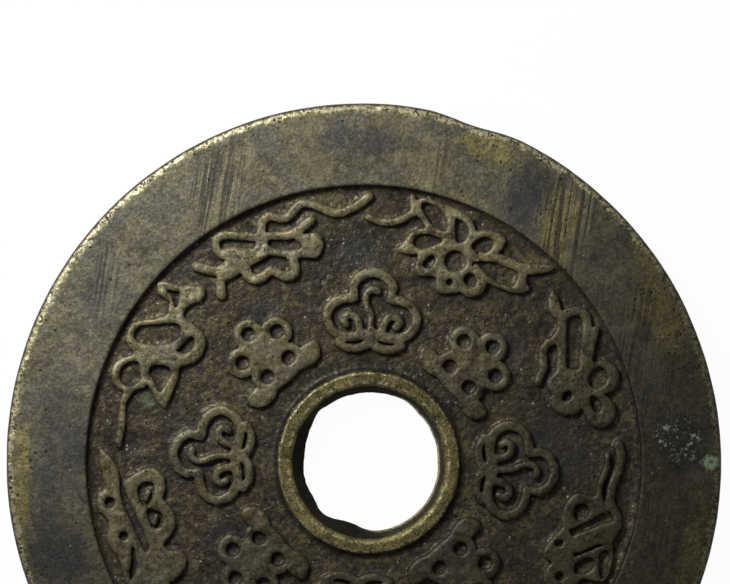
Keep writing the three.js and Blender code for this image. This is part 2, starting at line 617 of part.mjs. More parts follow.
const MOTIF_COUNT = 8;
const FIRST_MOTIF_ANGLE = 3;
for (let i = 0; i < MOTIF_COUNT; i += 1) {
  const [kind, strokes] = i % 2 === 0 ? ["cloud_scroll", cloudScroll] : ["plum_blossom", plumBlossom];
  const degrees = FIRST_MOTIF_ANGLE + (360 * i) / MOTIF_COUNT;
  const geometry = figureGeometry(strokes(), MOTIF_RING_RADIUS, degrees);
  coin.add(namedMesh(`${kind}_${Math.floor(i / 2) + 1}`, geometry, WORN_RELIEF));
}

export default coin;
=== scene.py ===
# %% [markdown]
# # A cast brass charm coin
# This lesson dresses a measured model of a large cast coin: a broad rim that was filed flat, a sunken
# field with tied emblems standing on it, and a collar round the hole for the cord. The measured
# model is loaded as a fixed frame. Every surface is then made again, finely enough to carry the
# unevenness of cast metal, and given a finish that follows the wear: bare where hands rub, dark
# where dirt settles.
# Light and shade are painted into the finish too: a fall-off across the face, a dark outer
# shoulder, shadows beside the strokes, shade and a highlight in the hole, and glints.

import bpy
import numpy as np
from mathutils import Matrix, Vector


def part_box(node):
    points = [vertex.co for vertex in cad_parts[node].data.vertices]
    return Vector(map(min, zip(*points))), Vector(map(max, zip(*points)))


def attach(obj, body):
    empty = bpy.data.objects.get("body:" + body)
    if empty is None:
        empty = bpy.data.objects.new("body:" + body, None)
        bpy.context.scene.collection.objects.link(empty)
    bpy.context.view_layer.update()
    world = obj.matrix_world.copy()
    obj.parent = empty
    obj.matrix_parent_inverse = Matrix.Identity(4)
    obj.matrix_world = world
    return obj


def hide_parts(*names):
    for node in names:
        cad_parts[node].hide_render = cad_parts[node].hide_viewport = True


MM = 0.001

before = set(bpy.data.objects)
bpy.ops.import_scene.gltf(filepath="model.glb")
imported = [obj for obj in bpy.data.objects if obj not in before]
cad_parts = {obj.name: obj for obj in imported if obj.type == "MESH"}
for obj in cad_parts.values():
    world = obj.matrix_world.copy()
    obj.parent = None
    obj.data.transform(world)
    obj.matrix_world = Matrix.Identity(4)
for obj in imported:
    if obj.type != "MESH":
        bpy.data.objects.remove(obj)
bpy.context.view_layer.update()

# %% [markdown]
# ## Sizes from the frame
# No size is typed twice. The heights and radii of the coin's levels are read from the boxes of the
# measured pieces, in millimetres, which are easier to think in than metres. Heights count up from
# the table, and angles run clockwise from the top of the design, as on a clock face.

# %% Read the coin's levels and radii


def node_box(name):
    """The lowest and highest corner of a measured piece, in millimetres."""
    low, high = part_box(name)
    return np.array(low) / MM, np.array(high) / MM


rim_low, rim_high = node_box("outer_rim")
field_low, field_high = node_box("field_web")
collar_low, collar_high = node_box("hole_collar")

FACE = rim_high[2]
FIELD = field_high[2]
BACK_FIELD = field_low[2]
RELIEF_TOP = node_box("emblem_lotus")[1][2]
COLLAR_TOP = collar_high[2]
COLLAR_BACK = collar_low[2]
OUTER_RADIUS = (rim_high[0] - rim_low[0] + rim_high[1] - rim_low[1]) / 4
WALL_RADIUS = (field_high[1] - field_low[1]) / 2
COLLAR_FOOT = (collar_high[1] - collar_low[1]) / 2
COLLAR_SHIFT = (collar_high[0] + collar_low[0]) / 2
MIDDLE = (FIELD + BACK_FIELD) / 2
print(f"radii: outside {OUTER_RADIUS:.2f}, wall {WALL_RADIUS:.2f}, collar {COLLAR_FOOT:.2f} mm")
print(f"heights: face {FACE:.2f}, relief {RELIEF_TOP:.2f}, field {FIELD:.2f} mm")

# %% [markdown]
# ## The camera
# The photograph looks straight down on the coin and cuts off its lowest third. A long lens straight
# above the middle of the frame does the same, and its distance follows from how wide a strip of the
# coin the frame has to hold.

# %% Hang the camera over the coin
FRAME_WIDTH = 730
FRAME_HEIGHT = 584
PIXELS_PER_MM = 11.96
COIN_MIDDLE_X = 363.8
COIN_MIDDLE_Y = 462.8
LENS = 200
SENSOR_WIDTH = 36

camera_data = bpy.data.cameras.new("copy_stand")
camera_data.lens = LENS
camera_data.sensor_width = SENSOR_WIDTH
camera_distance = FRAME_WIDTH / PIXELS_PER_MM * LENS / SENSOR_WIDTH
camera = bpy.data.objects.new("copy_stand", camera_data)
camera.location = (
    (FRAME_WIDTH / 2 - COIN_MIDDLE_X) / PIXELS_PER_MM * MM,
    (COIN_MIDDLE_Y - FRAME_HEIGHT / 2) / PIXELS_PER_MM * MM,
    (FACE + camera_distance) * MM,
)
bpy.context.scene.collection.objects.link(camera)
bpy.context.scene.camera = camera
print(f"the camera hangs {camera_distance:.0f} mm above the coin")

# %% [markdown]
# ## Smooth random numbers
# Cast metal is never quite flat. Its unevenness is made of noise: random values on a cubic lattice,
# blended smoothly between the corners of each cell. The same point in space always gets the same
# value, so two surfaces that meet are uneven in the same way, and no seam shows between them.

# %% Noise from a seeded lattice
LATTICE_SIZE = 64
LATTICE = np.random.default_rng(5).random((LATTICE_SIZE,) * 3)


def smoothstep(value, start, end):
    """0 before start, 1 after end, and 3t^2 - 2t^3 between them."""
    t = np.clip((value - start) / (end - start), 0, 1)
    return t * t * (3 - 2 * t)


def noise(x, y, z, size, seed=0):
    """Random heights from -1 to 1 that change over about size millimetres.

    The point is scaled to lattice cells. The eight corner values round it are mixed, along each
    axis in turn, with the weight 3t^2 - 2t^3, where t is how far into the cell the point lies.
    """
    cells = [np.asarray(axis) / size + seed * step for axis, step in zip((x, y, z), (17.3, 5.9, 1.7))]
    corner = [np.floor(axis).astype(int) for axis in cells]
    weight = [smoothstep(axis - low, 0, 1) for axis, low in zip(cells, corner)]
    near = [low % LATTICE_SIZE for low in corner]
    far = [(low + 1) % LATTICE_SIZE for low in corner]

    def along_x(j, k):
        here = LATTICE[near[0], j, k]
        return here + (LATTICE[far[0], j, k] - here) * weight[0]

    def along_y(k):
        here = along_x(near[1], k)
        return here + (along_x(far[1], k) - here) * weight[1]

    here = along_y(near[2])
    return 2 * (here + (along_y(far[2]) - here) * weight[2]) - 1


def layered_noise(x, y, z, layers):
    """The sum of several noises. Each layer gives its greatest height, its size and its seed."""
    return sum(height * noise(x, y, z, size, seed) for height, size, seed in layers)


print("noise runs from", noise(np.arange(999) * 0.31, 0, 0, 1).min().round(2))

# %% [markdown]
# ## From arrays to a mesh
# Every piece of this coin is a grid of points. A surface that goes round the coin closes on itself
# both ways: round the coin, and round its own cross-section. Each piece is told which body it rides
# on, which finish it takes and which measured piece it stands for.

# %% Helpers that turn grids into pieces
made = []


def make_piece(name, points, faces, marks, slot, stands_for):
    """Makes a closed piece of the coin from points in millimetres and four-sided faces.

    marks gives one number from 0 to 1 for each point, which the finishes read by name.
    """
    mesh = bpy.data.meshes.new(name)
    mesh.vertices.add(len(points))
    mesh.vertices.foreach_set("co", (points * MM).astype(np.float32).ravel())
    mesh.loops.add(faces.size)
    mesh.loops.foreach_set("vertex_index", faces.astype(np.int32).ravel())
    mesh.polygons.add(len(faces))
    mesh.polygons.foreach_set("loop_start", np.arange(0, faces.size, 4, dtype=np.int32))
    mesh.update(calc_edges=True)
    mesh.shade_smooth()
    for mark, values in marks.items():
        layer = mesh.attributes.new(mark, "FLOAT", "POINT")
        layer.data.foreach_set("value", np.clip(values, 0, 1).astype(np.float32).ravel())
    piece = bpy.data.objects.new(name, mesh)
    bpy.context.scene.collection.objects.link(piece)
    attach(piece, "root")
    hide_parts(stands_for)
    made.append((piece, slot))
    print(f"{name}: {2 * len(faces)} triangles")


def ring_faces(around, across):
    """Faces of a grid of around by across points that closes on itself both ways."""
    i, j = np.meshgrid(np.arange(around), np.arange(across), indexing="ij")
    next_i = (i + 1) % around
    next_j = (j + 1) % across
    corners = [i * across + j, i * across + next_j, next_i * across + next_j, next_i * across + j]
    return np.stack([corner.ravel() for corner in corners], axis=1)


def rounded_profile(corners):
    """A closed profile with straight sides and rounded corners, run anticlockwise.

    Each corner gives its radius, its share of whatever changes from angle to angle, its height,
    the length of its rounding, the number of points on the rounding and on the side that follows.
    A rounding is the curve (1-t)^2 a + 2t(1-t) c + t^2 b, from a before the corner c to b after it.
    """
    places = np.array([corner[:3] for corner in corners], dtype=float)
    roundings = np.array([corner[3] for corner in corners], dtype=float)[:, None]
    sides = np.roll(places, -1, axis=0) - places
    steps = sides / np.hypot(sides[:, 0], sides[:, 2])[:, None]
    starts = places - roundings * np.roll(steps, 1, axis=0)
    ends = places + roundings * steps
    rows = []
    for number, (*_, turn_points, side_points) in enumerate(corners):
        t = np.linspace(0, 1, turn_points)[:, None]
        bend = (1 - t) ** 2 * starts[number] + 2 * t * (1 - t) * places[number] + t**2 * ends[number]
        s = np.linspace(0, 1, side_points + 2)[1:-1, None]
        next_start = starts[(number + 1) % len(corners)]
        rows += [bend, ends[number] + s * (next_start - ends[number])]
    return np.concatenate(rows).T


def carried_round(profile, steps, change, shift):
    """Points of a profile carried round the coin, and the outward direction at each of them.

    At each angle a point's radius is its own radius plus its share of the change at that angle.
    shift moves it along X. Outward is the profile's tangent, turned a quarter turn clockwise.
    """
    degrees = np.linspace(0, 360, steps, endpoint=False)[:, None]
    turn = np.radians(degrees)
    radius, share, height = profile
    r = radius + share * change(degrees)
    z = height + 0 * r
    along_r = np.roll(r, -1, axis=1) - np.roll(r, 1, axis=1)
    along_z = np.roll(z, -1, axis=1) - np.roll(z, 1, axis=1)
    length = np.hypot(along_r, along_z)
    out_r = along_z / length
    out_z = -along_r / length
    points = np.stack([r * np.sin(turn) + shift, r * np.cos(turn), z], axis=-1)
    away = np.stack([out_r * np.sin(turn), out_r * np.cos(turn), out_z], axis=-1)
    return points, away


print("a ring of 4 by 3 points has", len(ring_faces(4, 3)), "faces")

# %% [markdown]
# ## The tone, with a painted fall-off of the light
# The upper left of the coin's face is painted a light grey olive, and it darkens to brown towards
# the other side: a painted fall-off of the light, lighter where the lamp stands nearer. That slow
# change is worked out from a point's place on the coin and stored with every surface, so that the
# rim, the field and the figures darken together. The back has one even tone.

# %% Soft patches
RAGGED_PATCH = [(0.3, 1.6, 5), (0.15, 0.6, 6)]
PATCH_FADES = (0.45, 1.15)


def oval_patches(x, y, patches):
    """The strongest of several soft, ragged ovals at each place, from 0 to 1.

    Each gives its middle, half its width and height, its strength and its turn in degrees. The
    distance from its middle, as a share of its half width and height, is made ragged by noise.
    The patch is full up to the first of its two fades and gone beyond the second.
    """
    ragged = layered_noise(x, y, 0, RAGGED_PATCH)
    strongest = 0 * x
    for middle_x, middle_y, half_width, half_height, strength, turn in patches:
        cos, sin = np.cos(np.radians(turn)), np.sin(np.radians(turn))
        across = ((x - middle_x) * cos + (y - middle_y) * sin) / half_width
        along = ((y - middle_y) * cos - (x - middle_x) * sin) / half_height
        inside = 1 - smoothstep(np.hypot(across, along) + ragged, *PATCH_FADES)
        strongest = np.maximum(strongest, strength * inside)
    return strongest


round_patch = oval_patches(np.array([0.0, 9.0]), 0.0, [(0, 0, 3, 3, 1, 0)])
print("a round patch is", round_patch, "strong at its middle and beyond its edge")

# %% The slow change of tone
LIGHT_SIDE = np.radians(-30)
DARK_FROM = -11
LIGHT_FROM = 18
TONE_POWER = 1.5
TONE_NOISE = [(2.0, 8, 3), (1.2, 2.5, 4)]
RUBBED = [(8.6, 20.6, 6.5, 6.0, 0.4, -20)]
BACK_TONE = 0.6


def tone_with_painted_falloff(points):
    """1 on the light side of the face, 0 on the dark side, and one even tone on the back.

    The tone paints the light's fall-off, lighter towards the lamp. The distance from the middle
    towards the light side, shifted here and there by slow noise, becomes a share from 0 to 1.
    That share is raised to a power, so the light side stands out.
    One patch right of the top is rubbed lighter still.
    """
    x, y, z = np.moveaxis(points, -1, 0)
    towards = x * np.sin(LIGHT_SIDE) + y * np.cos(LIGHT_SIDE)
    uneven = layered_noise(x, y, 0, TONE_NOISE)
    front = np.clip((towards + uneven - DARK_FROM) / (LIGHT_FROM - DARK_FROM), 0, 1) ** TONE_POWER
    front = front + oval_patches(x, y, RUBBED)
    return np.where(z < MIDDLE, BACK_TONE, front)


print("tone at the middle of the face:", tone_with_painted_falloff(np.array([0.0, 0.0, FACE])).round(2))

# %% [markdown]
# ## The outer rim
# The rim was cast and then filed flat on both faces, and its edges have worn round. The outline
# isn't a true circle: it is very slightly oval, and the metal ran short at one place just right of
# the top. A profile carried round the coin makes all of it in one closed surface.

# %% The rim's outline and profile
RIM_STEPS = 950
OVALITY = 0.1
OVALITY_ANGLE = -20
DIP_DEPTH = 0.36
DIP_ANGLE = 18
DIP_WIDTH = 5
WALL_LEAN = 0.08
SUNK = 0.3
FACE_EDGE_WEAR = 0.55
BACK_EDGE_WEAR = 0.5
WALL_EDGE_WEAR = 0.2


def outline_change(degrees):
    """How far the outline leaves a circle: a wave twice round it, and one shallow dip."""
    off_dip = (degrees - DIP_ANGLE + 180) % 360 - 180
    wave = OVALITY * np.cos(2 * np.radians(degrees - OVALITY_ANGLE))
    return wave - DIP_DEPTH * np.exp(-((off_dip / DIP_WIDTH) ** 2))


WALL_TOP = WALL_RADIUS + WALL_LEAN
rim_profile = rounded_profile(
    [
        (OUTER_RADIUS, 1, 0, BACK_EDGE_WEAR, 7, 6),
        (OUTER_RADIUS, 1, FACE, FACE_EDGE_WEAR, 9, 38),
        (WALL_TOP, 0, FACE, WALL_EDGE_WEAR, 4, 5),
        (WALL_RADIUS, 0, FIELD - SUNK, 0, 1, 1),
        (WALL_RADIUS, 0, BACK_FIELD + SUNK, 0, 1, 4),
        (WALL_TOP, 0, 0, WALL_EDGE_WEAR, 3, 18),
    ]
)
print("the rim's profile has", rim_profile.shape[1], "points")

# %% [markdown]
# The filed faces wave a little and carry fine grain. Near the outer edge the casting skin is left,
# with pits and nicks that catch the light. The back lies on the table, so nothing goes below it.

# %% The rim's unevenness
FILED_NOISE = [(0.022, 5, 11), (0.012, 1.6, 12), (0.008, 0.45, 13)]
SPOILT_BAND = (0.2, 1.1)
DEEP_PIT_SIZE = 0.4
NICK_SIZE = 0.8
SHALLOW_PIT = 0.04
EDGE_PIT = 0.1
NICK_DEPTH = 0.08
LEVEL_ENOUGH = (0.35, 0.9)


def filed_unevenness(x, y, z, to_edge, upward):
    """How far the filed rim stands off its plain shape, in millimetres.

    Slow waves and grain, less pits and nicks that crowd within a millimetre of the outer edge.
    A pit opens where its noise is above 0.62, and above 0.2 at the edge. A nick opens above 0.1.
    They are cut down from the faces only, so the outline stays smooth.
    """
    near_edge = 1 - smoothstep(to_edge, *SPOILT_BAND)
    pits = smoothstep(noise(x, y, z, DEEP_PIT_SIZE, seed=14), 0.62 - 0.42 * near_edge, 1)
    nicks = near_edge * smoothstep(noise(x, y, z, NICK_SIZE, seed=15), 0.1, 0.9)
    sunk = (SHALLOW_PIT + EDGE_PIT * near_edge) * pits + NICK_DEPTH * nicks
    return layered_noise(x, y, z, FILED_NOISE) - upward * sunk


rim_points, rim_away = carried_round(rim_profile, RIM_STEPS, outline_change, 0)
rim_x, rim_y, rim_z = np.moveaxis(rim_points, -1, 0)
rim_r = np.hypot(rim_x, rim_y)
rim_degrees = np.degrees(np.arctan2(rim_x, rim_y))
to_edge = OUTER_RADIUS + outline_change(rim_degrees) - rim_r
upward = smoothstep(np.abs(rim_away[..., 2]), *LEVEL_ENOUGH)
rim_lift = filed_unevenness(rim_x, rim_y, rim_z, to_edge, upward)
print("the rim's surface is uneven by", rim_lift.min().round(2), "to", rim_lift.max().round(2), "mm")

# %% [markdown]
# The rim's skin isn't even either. Dark blue-grey stains lie on it, the file left groups of long
# marks, and on the right the brown has worn through to a golden brass along the edge. Each of these
# is a patch with its own place and size, stored as a mark for the finish to read. They could be
# painted by hand, but a short list is easier to change. Each patch gives its middle, half its width
# and height, its strength and its turn in degrees.

# %% The rim's patches
RIM_STAINS = [
    (13.3, 22.2, 2.1, 3.8, 1.0, -18),
    (9.6, 26.0, 2.2, 1.5, 0.6, 10),
    (-0.6, 27.0, 4.4, 1.6, 0.8, 0),
    (-22.6, 14.6, 1.5, 2.6, 0.6, -25),
    (-25.4, 1.2, 2.8, 5.4, 0.8, 2),
    (-25.6, -7.5, 3.2, 4.2, 0.9, 5),
    (26.3, 1.6, 2.0, 2.9, 0.6, 0),
    (20.0, 17.2, 1.4, 2.0, 0.4, -20),
]
FILE_GROUPS = [
    (-12.0, 23.2, 2.4, 5.2, 1.0, -12),
    (16.9, 20.2, 2.8, 5.0, 1.0, -11),
    (6.4, 25.0, 1.2, 3.2, 0.5, -6),
    (23.4, 9.0, 4.0, 8.0, 0.55, -3),
    (-21.6, 14.8, 1.4, 3.6, 0.6, -6),
    (25.0, -6.0, 2.5, 6.0, 0.4, 0),
]
GOLDEN = [
    (10.6, 26.2, 3.4, 2.0, 0.9, -22),
    (16.2, 19.2, 2.2, 5.0, 0.8, -12),
    (25.2, 12.2, 2.2, 5.2, 0.9, 25),
    (27.6, -7.0, 1.8, 5.0, 0.9, -12),
    (-28.6, -1.0, 0.9, 6.0, 0.9, 0),
    (5.2, 22.6, 5.0, 1.6, 0.5, -14),
    (24.0, 16.6, 1.0, 4.0, 0.7, 34),
]
DUSTY = [(26.2, 1.9, 2.4, 2.8, 1.0, 0)]
print("the rim has", len(RIM_STAINS), "stains and", len(GOLDEN), "golden patches")

# %% [markdown]
# Some marks follow the rim's shape instead of a list: the painted shade on its outer shoulder and
# wall, which turn away from the light, the golden band and the bare line along its edge, and the
# dirt at the foot of the inner wall. Each is a band of distances in millimetres, between which the
# mark fades. The painted fall-off of the light is left off the outer wall, which keeps one light
# tone all the way round. The back is filed evenly all over.

# %% Make the rim
WALL_TONE = 0.9
WALL_BELOW = (0.3, 0.7)
EDGE_NOISE = [(0.22, 0.9, 16), (0.12, 0.4, 17)]
SHADED_SHOULDER_BAND = (0.08, 0.27)
BARE_BAND = (0.34, 0.8)
GOLDEN_BAND = (0.4, 1.5)
GOLDEN_AT_EDGE = 0.6
FOOT_BAND = (0.08, 0.24)
DIRT_AT_FOOT = 0.6
FILED_BACK = 0.5

rim_tone = tone_with_painted_falloff(rim_points)
# The painted fall-off of the light is left off the outer wall.
on_wall = smoothstep(FACE - rim_z, *WALL_BELOW) * (rim_r > (OUTER_RADIUS + WALL_RADIUS) / 2)
rim_tone = rim_tone + (WALL_TONE - rim_tone) * on_wall
rim_points = rim_points + rim_away * rim_lift[..., None]
rim_points[..., 2] = np.maximum(rim_points[..., 2], 0)
ragged = to_edge + layered_noise(rim_x, rim_y, 0, EDGE_NOISE)
# Painted shade: the outermost band of the shoulder, and the wall beyond it, turn away from the light.
shaded_shoulder = 1 - smoothstep(to_edge, *SHADED_SHOULDER_BAND)
edge_band = GOLDEN_AT_EDGE * (1 - smoothstep(ragged, *GOLDEN_BAND))
on_face = rim_z > MIDDLE
make_piece(
    "rim_casting",
    rim_points.reshape(-1, 3),
    ring_faces(RIM_STEPS, rim_profile.shape[1]),
    {
        "tone": rim_tone,
        # rise is 0 where the outer shoulder and wall take painted shade.
        "rise": 1 - shaded_shoulder,
        "dirt_and_shade": DIRT_AT_FOOT * (1 - smoothstep(rim_r - WALL_RADIUS, *FOOT_BAND)),
        "edge": (1 - smoothstep(ragged, *BARE_BAND)) * (1 - shaded_shoulder),
        "stain": oval_patches(rim_x, rim_y, RIM_STAINS) * on_face,
        "filed": np.where(on_face, oval_patches(rim_x, rim_y, FILE_GROUPS), FILED_BACK),
        "golden": np.maximum(oval_patches(rim_x, rim_y, GOLDEN), edge_band),
        "dusty": oval_patches(rim_x, rim_y, DUSTY) * on_face,
    },
    "rubbed_rim",
    "outer_rim",
)

# %% [markdown]
# ## The collar round the hole
# The collar is a low ring. Its hole narrows half way through, where the two halves of the mould met
# and a thin, ragged edge of metal was left. The edge's radius is one number with a few bumps and
# hollows on it, each with its angle, height and width.

# %% The hole's ragged edge
NECK_RADIUS = 5.8
NECK_NOISE = [(0.025, 4, 21), (0.02, 9, 22)]
NECK_BUMPS = [
    (-160, -0.52, 14),
    (-120, -0.3, 14),
    (-85, -0.42, 26),
    (-44, 0.2, 9),
    (28, 0.14, 14),
    (105, 0.07, 20),
    (180, -0.12, 16),
]


def neck_change(degrees):
    """How far the hole's edge leaves a circle: a sum of bell-shaped bumps, and fine raggedness."""
    change = layered_noise(degrees, 0, 0, NECK_NOISE)
    for angle, height, width in NECK_BUMPS:
        off_bump = (degrees - angle + 180) % 360 - 180
        change = change + height * np.exp(-((off_bump / width) ** 2))
    return change


print("the hole's edge is from", (NECK_RADIUS + neck_change(np.arange(360))).min().round(2), "mm")

# %% [markdown]
# The collar could be a turned ring, but a turned ring looks new. Its profile is carried round like
# the rim's, with a broadly rounded lip where the cord ran over it, and the ragged neck below. Noise
# of three sizes makes its skin uneven. The figures and the field use the same noise.

# %% The collar's profile
COLLAR_STEPS = 700
COLLAR_OUTER_TOP = COLLAR_FOOT - 0.17
HOLE_TOP = 6.42
OUTER_ROUNDING = 0.24
LIP_ROUNDING = 0.48
NECK_ROUNDING = 0.1
BACK_LIP_ROUNDING = 0.34
BACK_ROUNDING = 0.4
CAST_NOISE = [(0.045, 3.1, 31), (0.05, 1.2, 32), (0.026, 0.5, 33)]


def cast_unevenness(x, y, z):
    """How far a cast surface stands off its plain shape, in millimetres: noise of three sizes."""
    return layered_noise(x, y, z, CAST_NOISE)


collar_profile = rounded_profile(
    [
        (COLLAR_FOOT, 0, FIELD - SUNK, 0, 1, 4),
        (COLLAR_OUTER_TOP, 0, COLLAR_TOP, OUTER_ROUNDING, 11, 7),
        (HOLE_TOP, 0, COLLAR_TOP, LIP_ROUNDING, 12, 10),
        (NECK_RADIUS, 1, MIDDLE, NECK_ROUNDING, 6, 10),
        (HOLE_TOP, 0, COLLAR_BACK, BACK_LIP_ROUNDING, 8, 5),
        (COLLAR_OUTER_TOP, 0, COLLAR_BACK, BACK_ROUNDING, 8, 3),
        (COLLAR_FOOT, 0, BACK_FIELD + SUNK, 0, 1, 1),
    ]
)
print("the collar's profile has", collar_profile.shape[1], "points")

# %% [markdown]
# Fingers and the cord have rubbed the collar's edges, so they are marked as worn. Its foot is marked
# as dirty, because nothing reaches into the corner that it makes with the field. The inside of the
# hole is caked with dirt, and painted shade darkens it more on the side turned from the lamp. On the
# side that faces the lamp, to the lower right, the hole is lighter and the neck's edge carries a
# painted highlight.

# %% Make the collar
LIP = 0.3
LAMP_FACING_SIDE = 105
RUBBED_OUTSIDE = (0.05, 0.3)
RUBBED_LIP = (0.05, 0.2)
NECK_HIGHLIGHT_BAND = (0.08, 0.24)
EDGE_WEAR = 0.5
LESS_SHADE_ON_LIT_SIDE = 0.3
FOOT_OF_COLLAR = (COLLAR_FOOT - 0.2, COLLAR_FOOT - 0.02)
OUT_OF_HOLE = (HOLE_TOP - 0.15, HOLE_TOP + 0.12)
LIT_SIDE_SPREAD = (-0.2, 0.7)

collar_points, collar_away = carried_round(collar_profile, COLLAR_STEPS, neck_change, COLLAR_SHIFT)
collar_x, collar_y, collar_z = np.moveaxis(collar_points, -1, 0)
collar_r = np.hypot(collar_x - COLLAR_SHIFT, collar_y)
collar_tone = tone_with_painted_falloff(collar_points)
uneven = cast_unevenness(collar_x, collar_y, collar_z)
collar_points = collar_points + collar_away * uneven[..., None]
collar_points[..., 2] = np.maximum(collar_points[..., 2], 0)
outer_edge = 1 - smoothstep(np.abs(collar_r - COLLAR_OUTER_TOP), *RUBBED_OUTSIDE)
hole_edge = 1 - smoothstep(np.abs(collar_r - HOLE_TOP - LIP), *RUBBED_LIP)
collar_degrees = np.degrees(np.arctan2(collar_x - COLLAR_SHIFT, collar_y))
# A band along the neck's edge, where a painted highlight goes on the lamp's side.
neck_highlight = 1 - smoothstep(collar_r - NECK_RADIUS - neck_change(collar_degrees), *NECK_HIGHLIGHT_BAND)
at_foot = smoothstep(collar_r, *FOOT_OF_COLLAR)
in_hole = 1 - smoothstep(collar_r, *OUT_OF_HOLE)
# Painted light: 1 on the side of the hole that faces the lamp, 0 on the side in shade.
lit_side = smoothstep(np.cos(np.radians(collar_degrees - LAMP_FACING_SIDE)), *LIT_SIDE_SPREAD)
make_piece(
    "collar_casting",
    collar_points.reshape(-1, 3),
    ring_faces(COLLAR_STEPS, collar_profile.shape[1]),
    {
        "tone": collar_tone,
        # Caked dirt in the hole and at the foot, with painted shade that is lighter on the lamp's side.
        "dirt_and_shade": np.maximum(at_foot, in_hole * (1 - lit_side * (LESS_SHADE_ON_LIT_SIDE + (1 - LESS_SHADE_ON_LIT_SIDE) * neck_highlight))),
        # Worn edges, and a painted highlight on the neck's edge on the lamp's side.
        "edge": np.maximum(EDGE_WEAR * np.maximum(outer_edge, hole_edge), neck_highlight * lit_side),
    },
    "handled_collar",
    "hole_collar",
)

# %% [markdown]
# ## The figures
# The emblems stand on the field with flat, rubbed tops and sides that the mould left soft. The
# measured model has each flat top as triangles. Its outline is filled into a fine grid of squares,
# and the filled grid is blurred. The blur rises from 0 outside a stroke to 1 inside it, and a height
# made from that rise rounds every edge, end and corner in the same way as worn metal.

# %% Fill the flat top of a figure into a grid
CELL = 0.05
GRID_HALF = 25.6
GRID_SIZE = int(round(2 * GRID_HALF / CELL))
SAMPLES = 4
MARGIN = 0.9
TOP_TOLERANCE = 0.02


def top_triangles(name):
    """The triangles of a measured figure's flat top, seen from above, in millimetres."""
    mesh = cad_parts[name].data
    corners = np.empty(len(mesh.loops), dtype=np.int32)
    mesh.loops.foreach_get("vertex_index", corners)
    places = np.empty(3 * len(mesh.vertices), dtype=np.float32)
    mesh.vertices.foreach_get("co", places)
    triangles = places.reshape(-1, 3)[corners.reshape(-1, 3)].astype(float) / MM
    on_top = triangles[:, :, 2].min(axis=1) > RELIEF_TOP - TOP_TOLERANCE
    return triangles[on_top][:, :, :2]


def grid_window(triangles):
    """The first square and the number of squares, along X and Y, that hold a figure."""
    corners = triangles.reshape(-1, 2)
    first = np.floor((corners.min(axis=0) - MARGIN + GRID_HALF) / CELL).astype(int)
    last = np.ceil((corners.max(axis=0) + MARGIN + GRID_HALF) / CELL).astype(int)
    return first, last - first


def covered_share(triangles, first, count):
    """How much of each square the triangles cover, from 0 to 1, sampled at 4 by 4 places.

    Along each row of places, every triangle side that the row crosses switches between outside
    and inside. Sides shared by two triangles switch twice, so only the outline counts.
    """
    step = CELL / SAMPLES
    one = triangles.reshape(-1, 2)
    other = np.roll(triangles, -1, axis=1).reshape(-1, 2)
    upside_down = (one[:, 1] > other[:, 1])[:, None]
    low = np.where(upside_down, other, one)
    high = np.where(upside_down, one, other)
    x_start, y_start = first * CELL - GRID_HALF
    rows = y_start + (np.arange(count[1] * SAMPLES) + 0.5) * step
    side, row = np.nonzero((low[:, 1, None] <= rows) & (high[:, 1, None] > rows))
    slope = (high[side, 0] - low[side, 0]) / (high[side, 1] - low[side, 1])
    crossing = low[side, 0] + (rows[row] - low[side, 1]) * slope
    column = np.ceil((crossing - x_start) / step - 0.5).astype(int)
    switches = np.zeros((len(rows), count[0] * SAMPLES), dtype=int)
    np.add.at(switches, (row, column), 1)
    inside = np.cumsum(switches, axis=1) % 2
    return inside.reshape(count[1], SAMPLES, count[0], SAMPLES).mean(axis=(1, 3))


lotus = top_triangles("emblem_lotus")
print("the lotus top covers", round(covered_share(lotus, *grid_window(lotus)).sum() * CELL**2, 1), "mm2")

# %% [markdown]
# A blur multiplies each wave in the grid by a factor that falls off with its fineness. All the
# figures together, blurred more widely, also tell how close a point of the field is to a stroke,
# where dirt gathers.

# %% Fill and blur every figure
CLOSE_SPREAD = 0.3
FOOT_SPREAD = 0.15


def blurred(grid, spread):
    """The grid blurred by a bell curve of the given spread in millimetres.

    Its waves, found by a Fourier transform, are multiplied by exp(-2 pi^2 spread^2 f^2), where f is
    how many of them there are to a millimetre.
    """
    rows = np.fft.fftfreq(grid.shape[0], CELL)[:, None]
    columns = np.fft.rfftfreq(grid.shape[1], CELL)
    damping = np.exp(-2 * np.pi**2 * spread**2 * (rows**2 + columns**2))
    return np.fft.irfft2(np.fft.rfft2(grid) * damping, s=grid.shape)


figures = [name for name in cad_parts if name.startswith(("emblem_", "cloud_", "plum_"))]
windows = {}
covers = {}
all_covers = np.zeros((GRID_SIZE, GRID_SIZE))
for name in figures:
    triangles = top_triangles(name)
    first, count = windows[name] = grid_window(triangles)
    covers[name] = covered_share(triangles, first, count)
    part = all_covers[first[1] : first[1] + count[1], first[0] : first[0] + count[0]]
    np.maximum(part, covers[name], out=part)
close_to_stroke = blurred(all_covers, CLOSE_SPREAD)
foot_of_stroke = blurred(all_covers, FOOT_SPREAD)
print(len(figures), "figures cover", round(all_covers.sum() * CELL**2), "mm2 of the field")

# %% [markdown]
# Each figure becomes a thin slab: a top of small squares, the same squares lower down, and walls
# between them all round. Its border lies below the field, so only the rise shows.

# %% Build a slab from grid points
FILLING_PASSES = 4


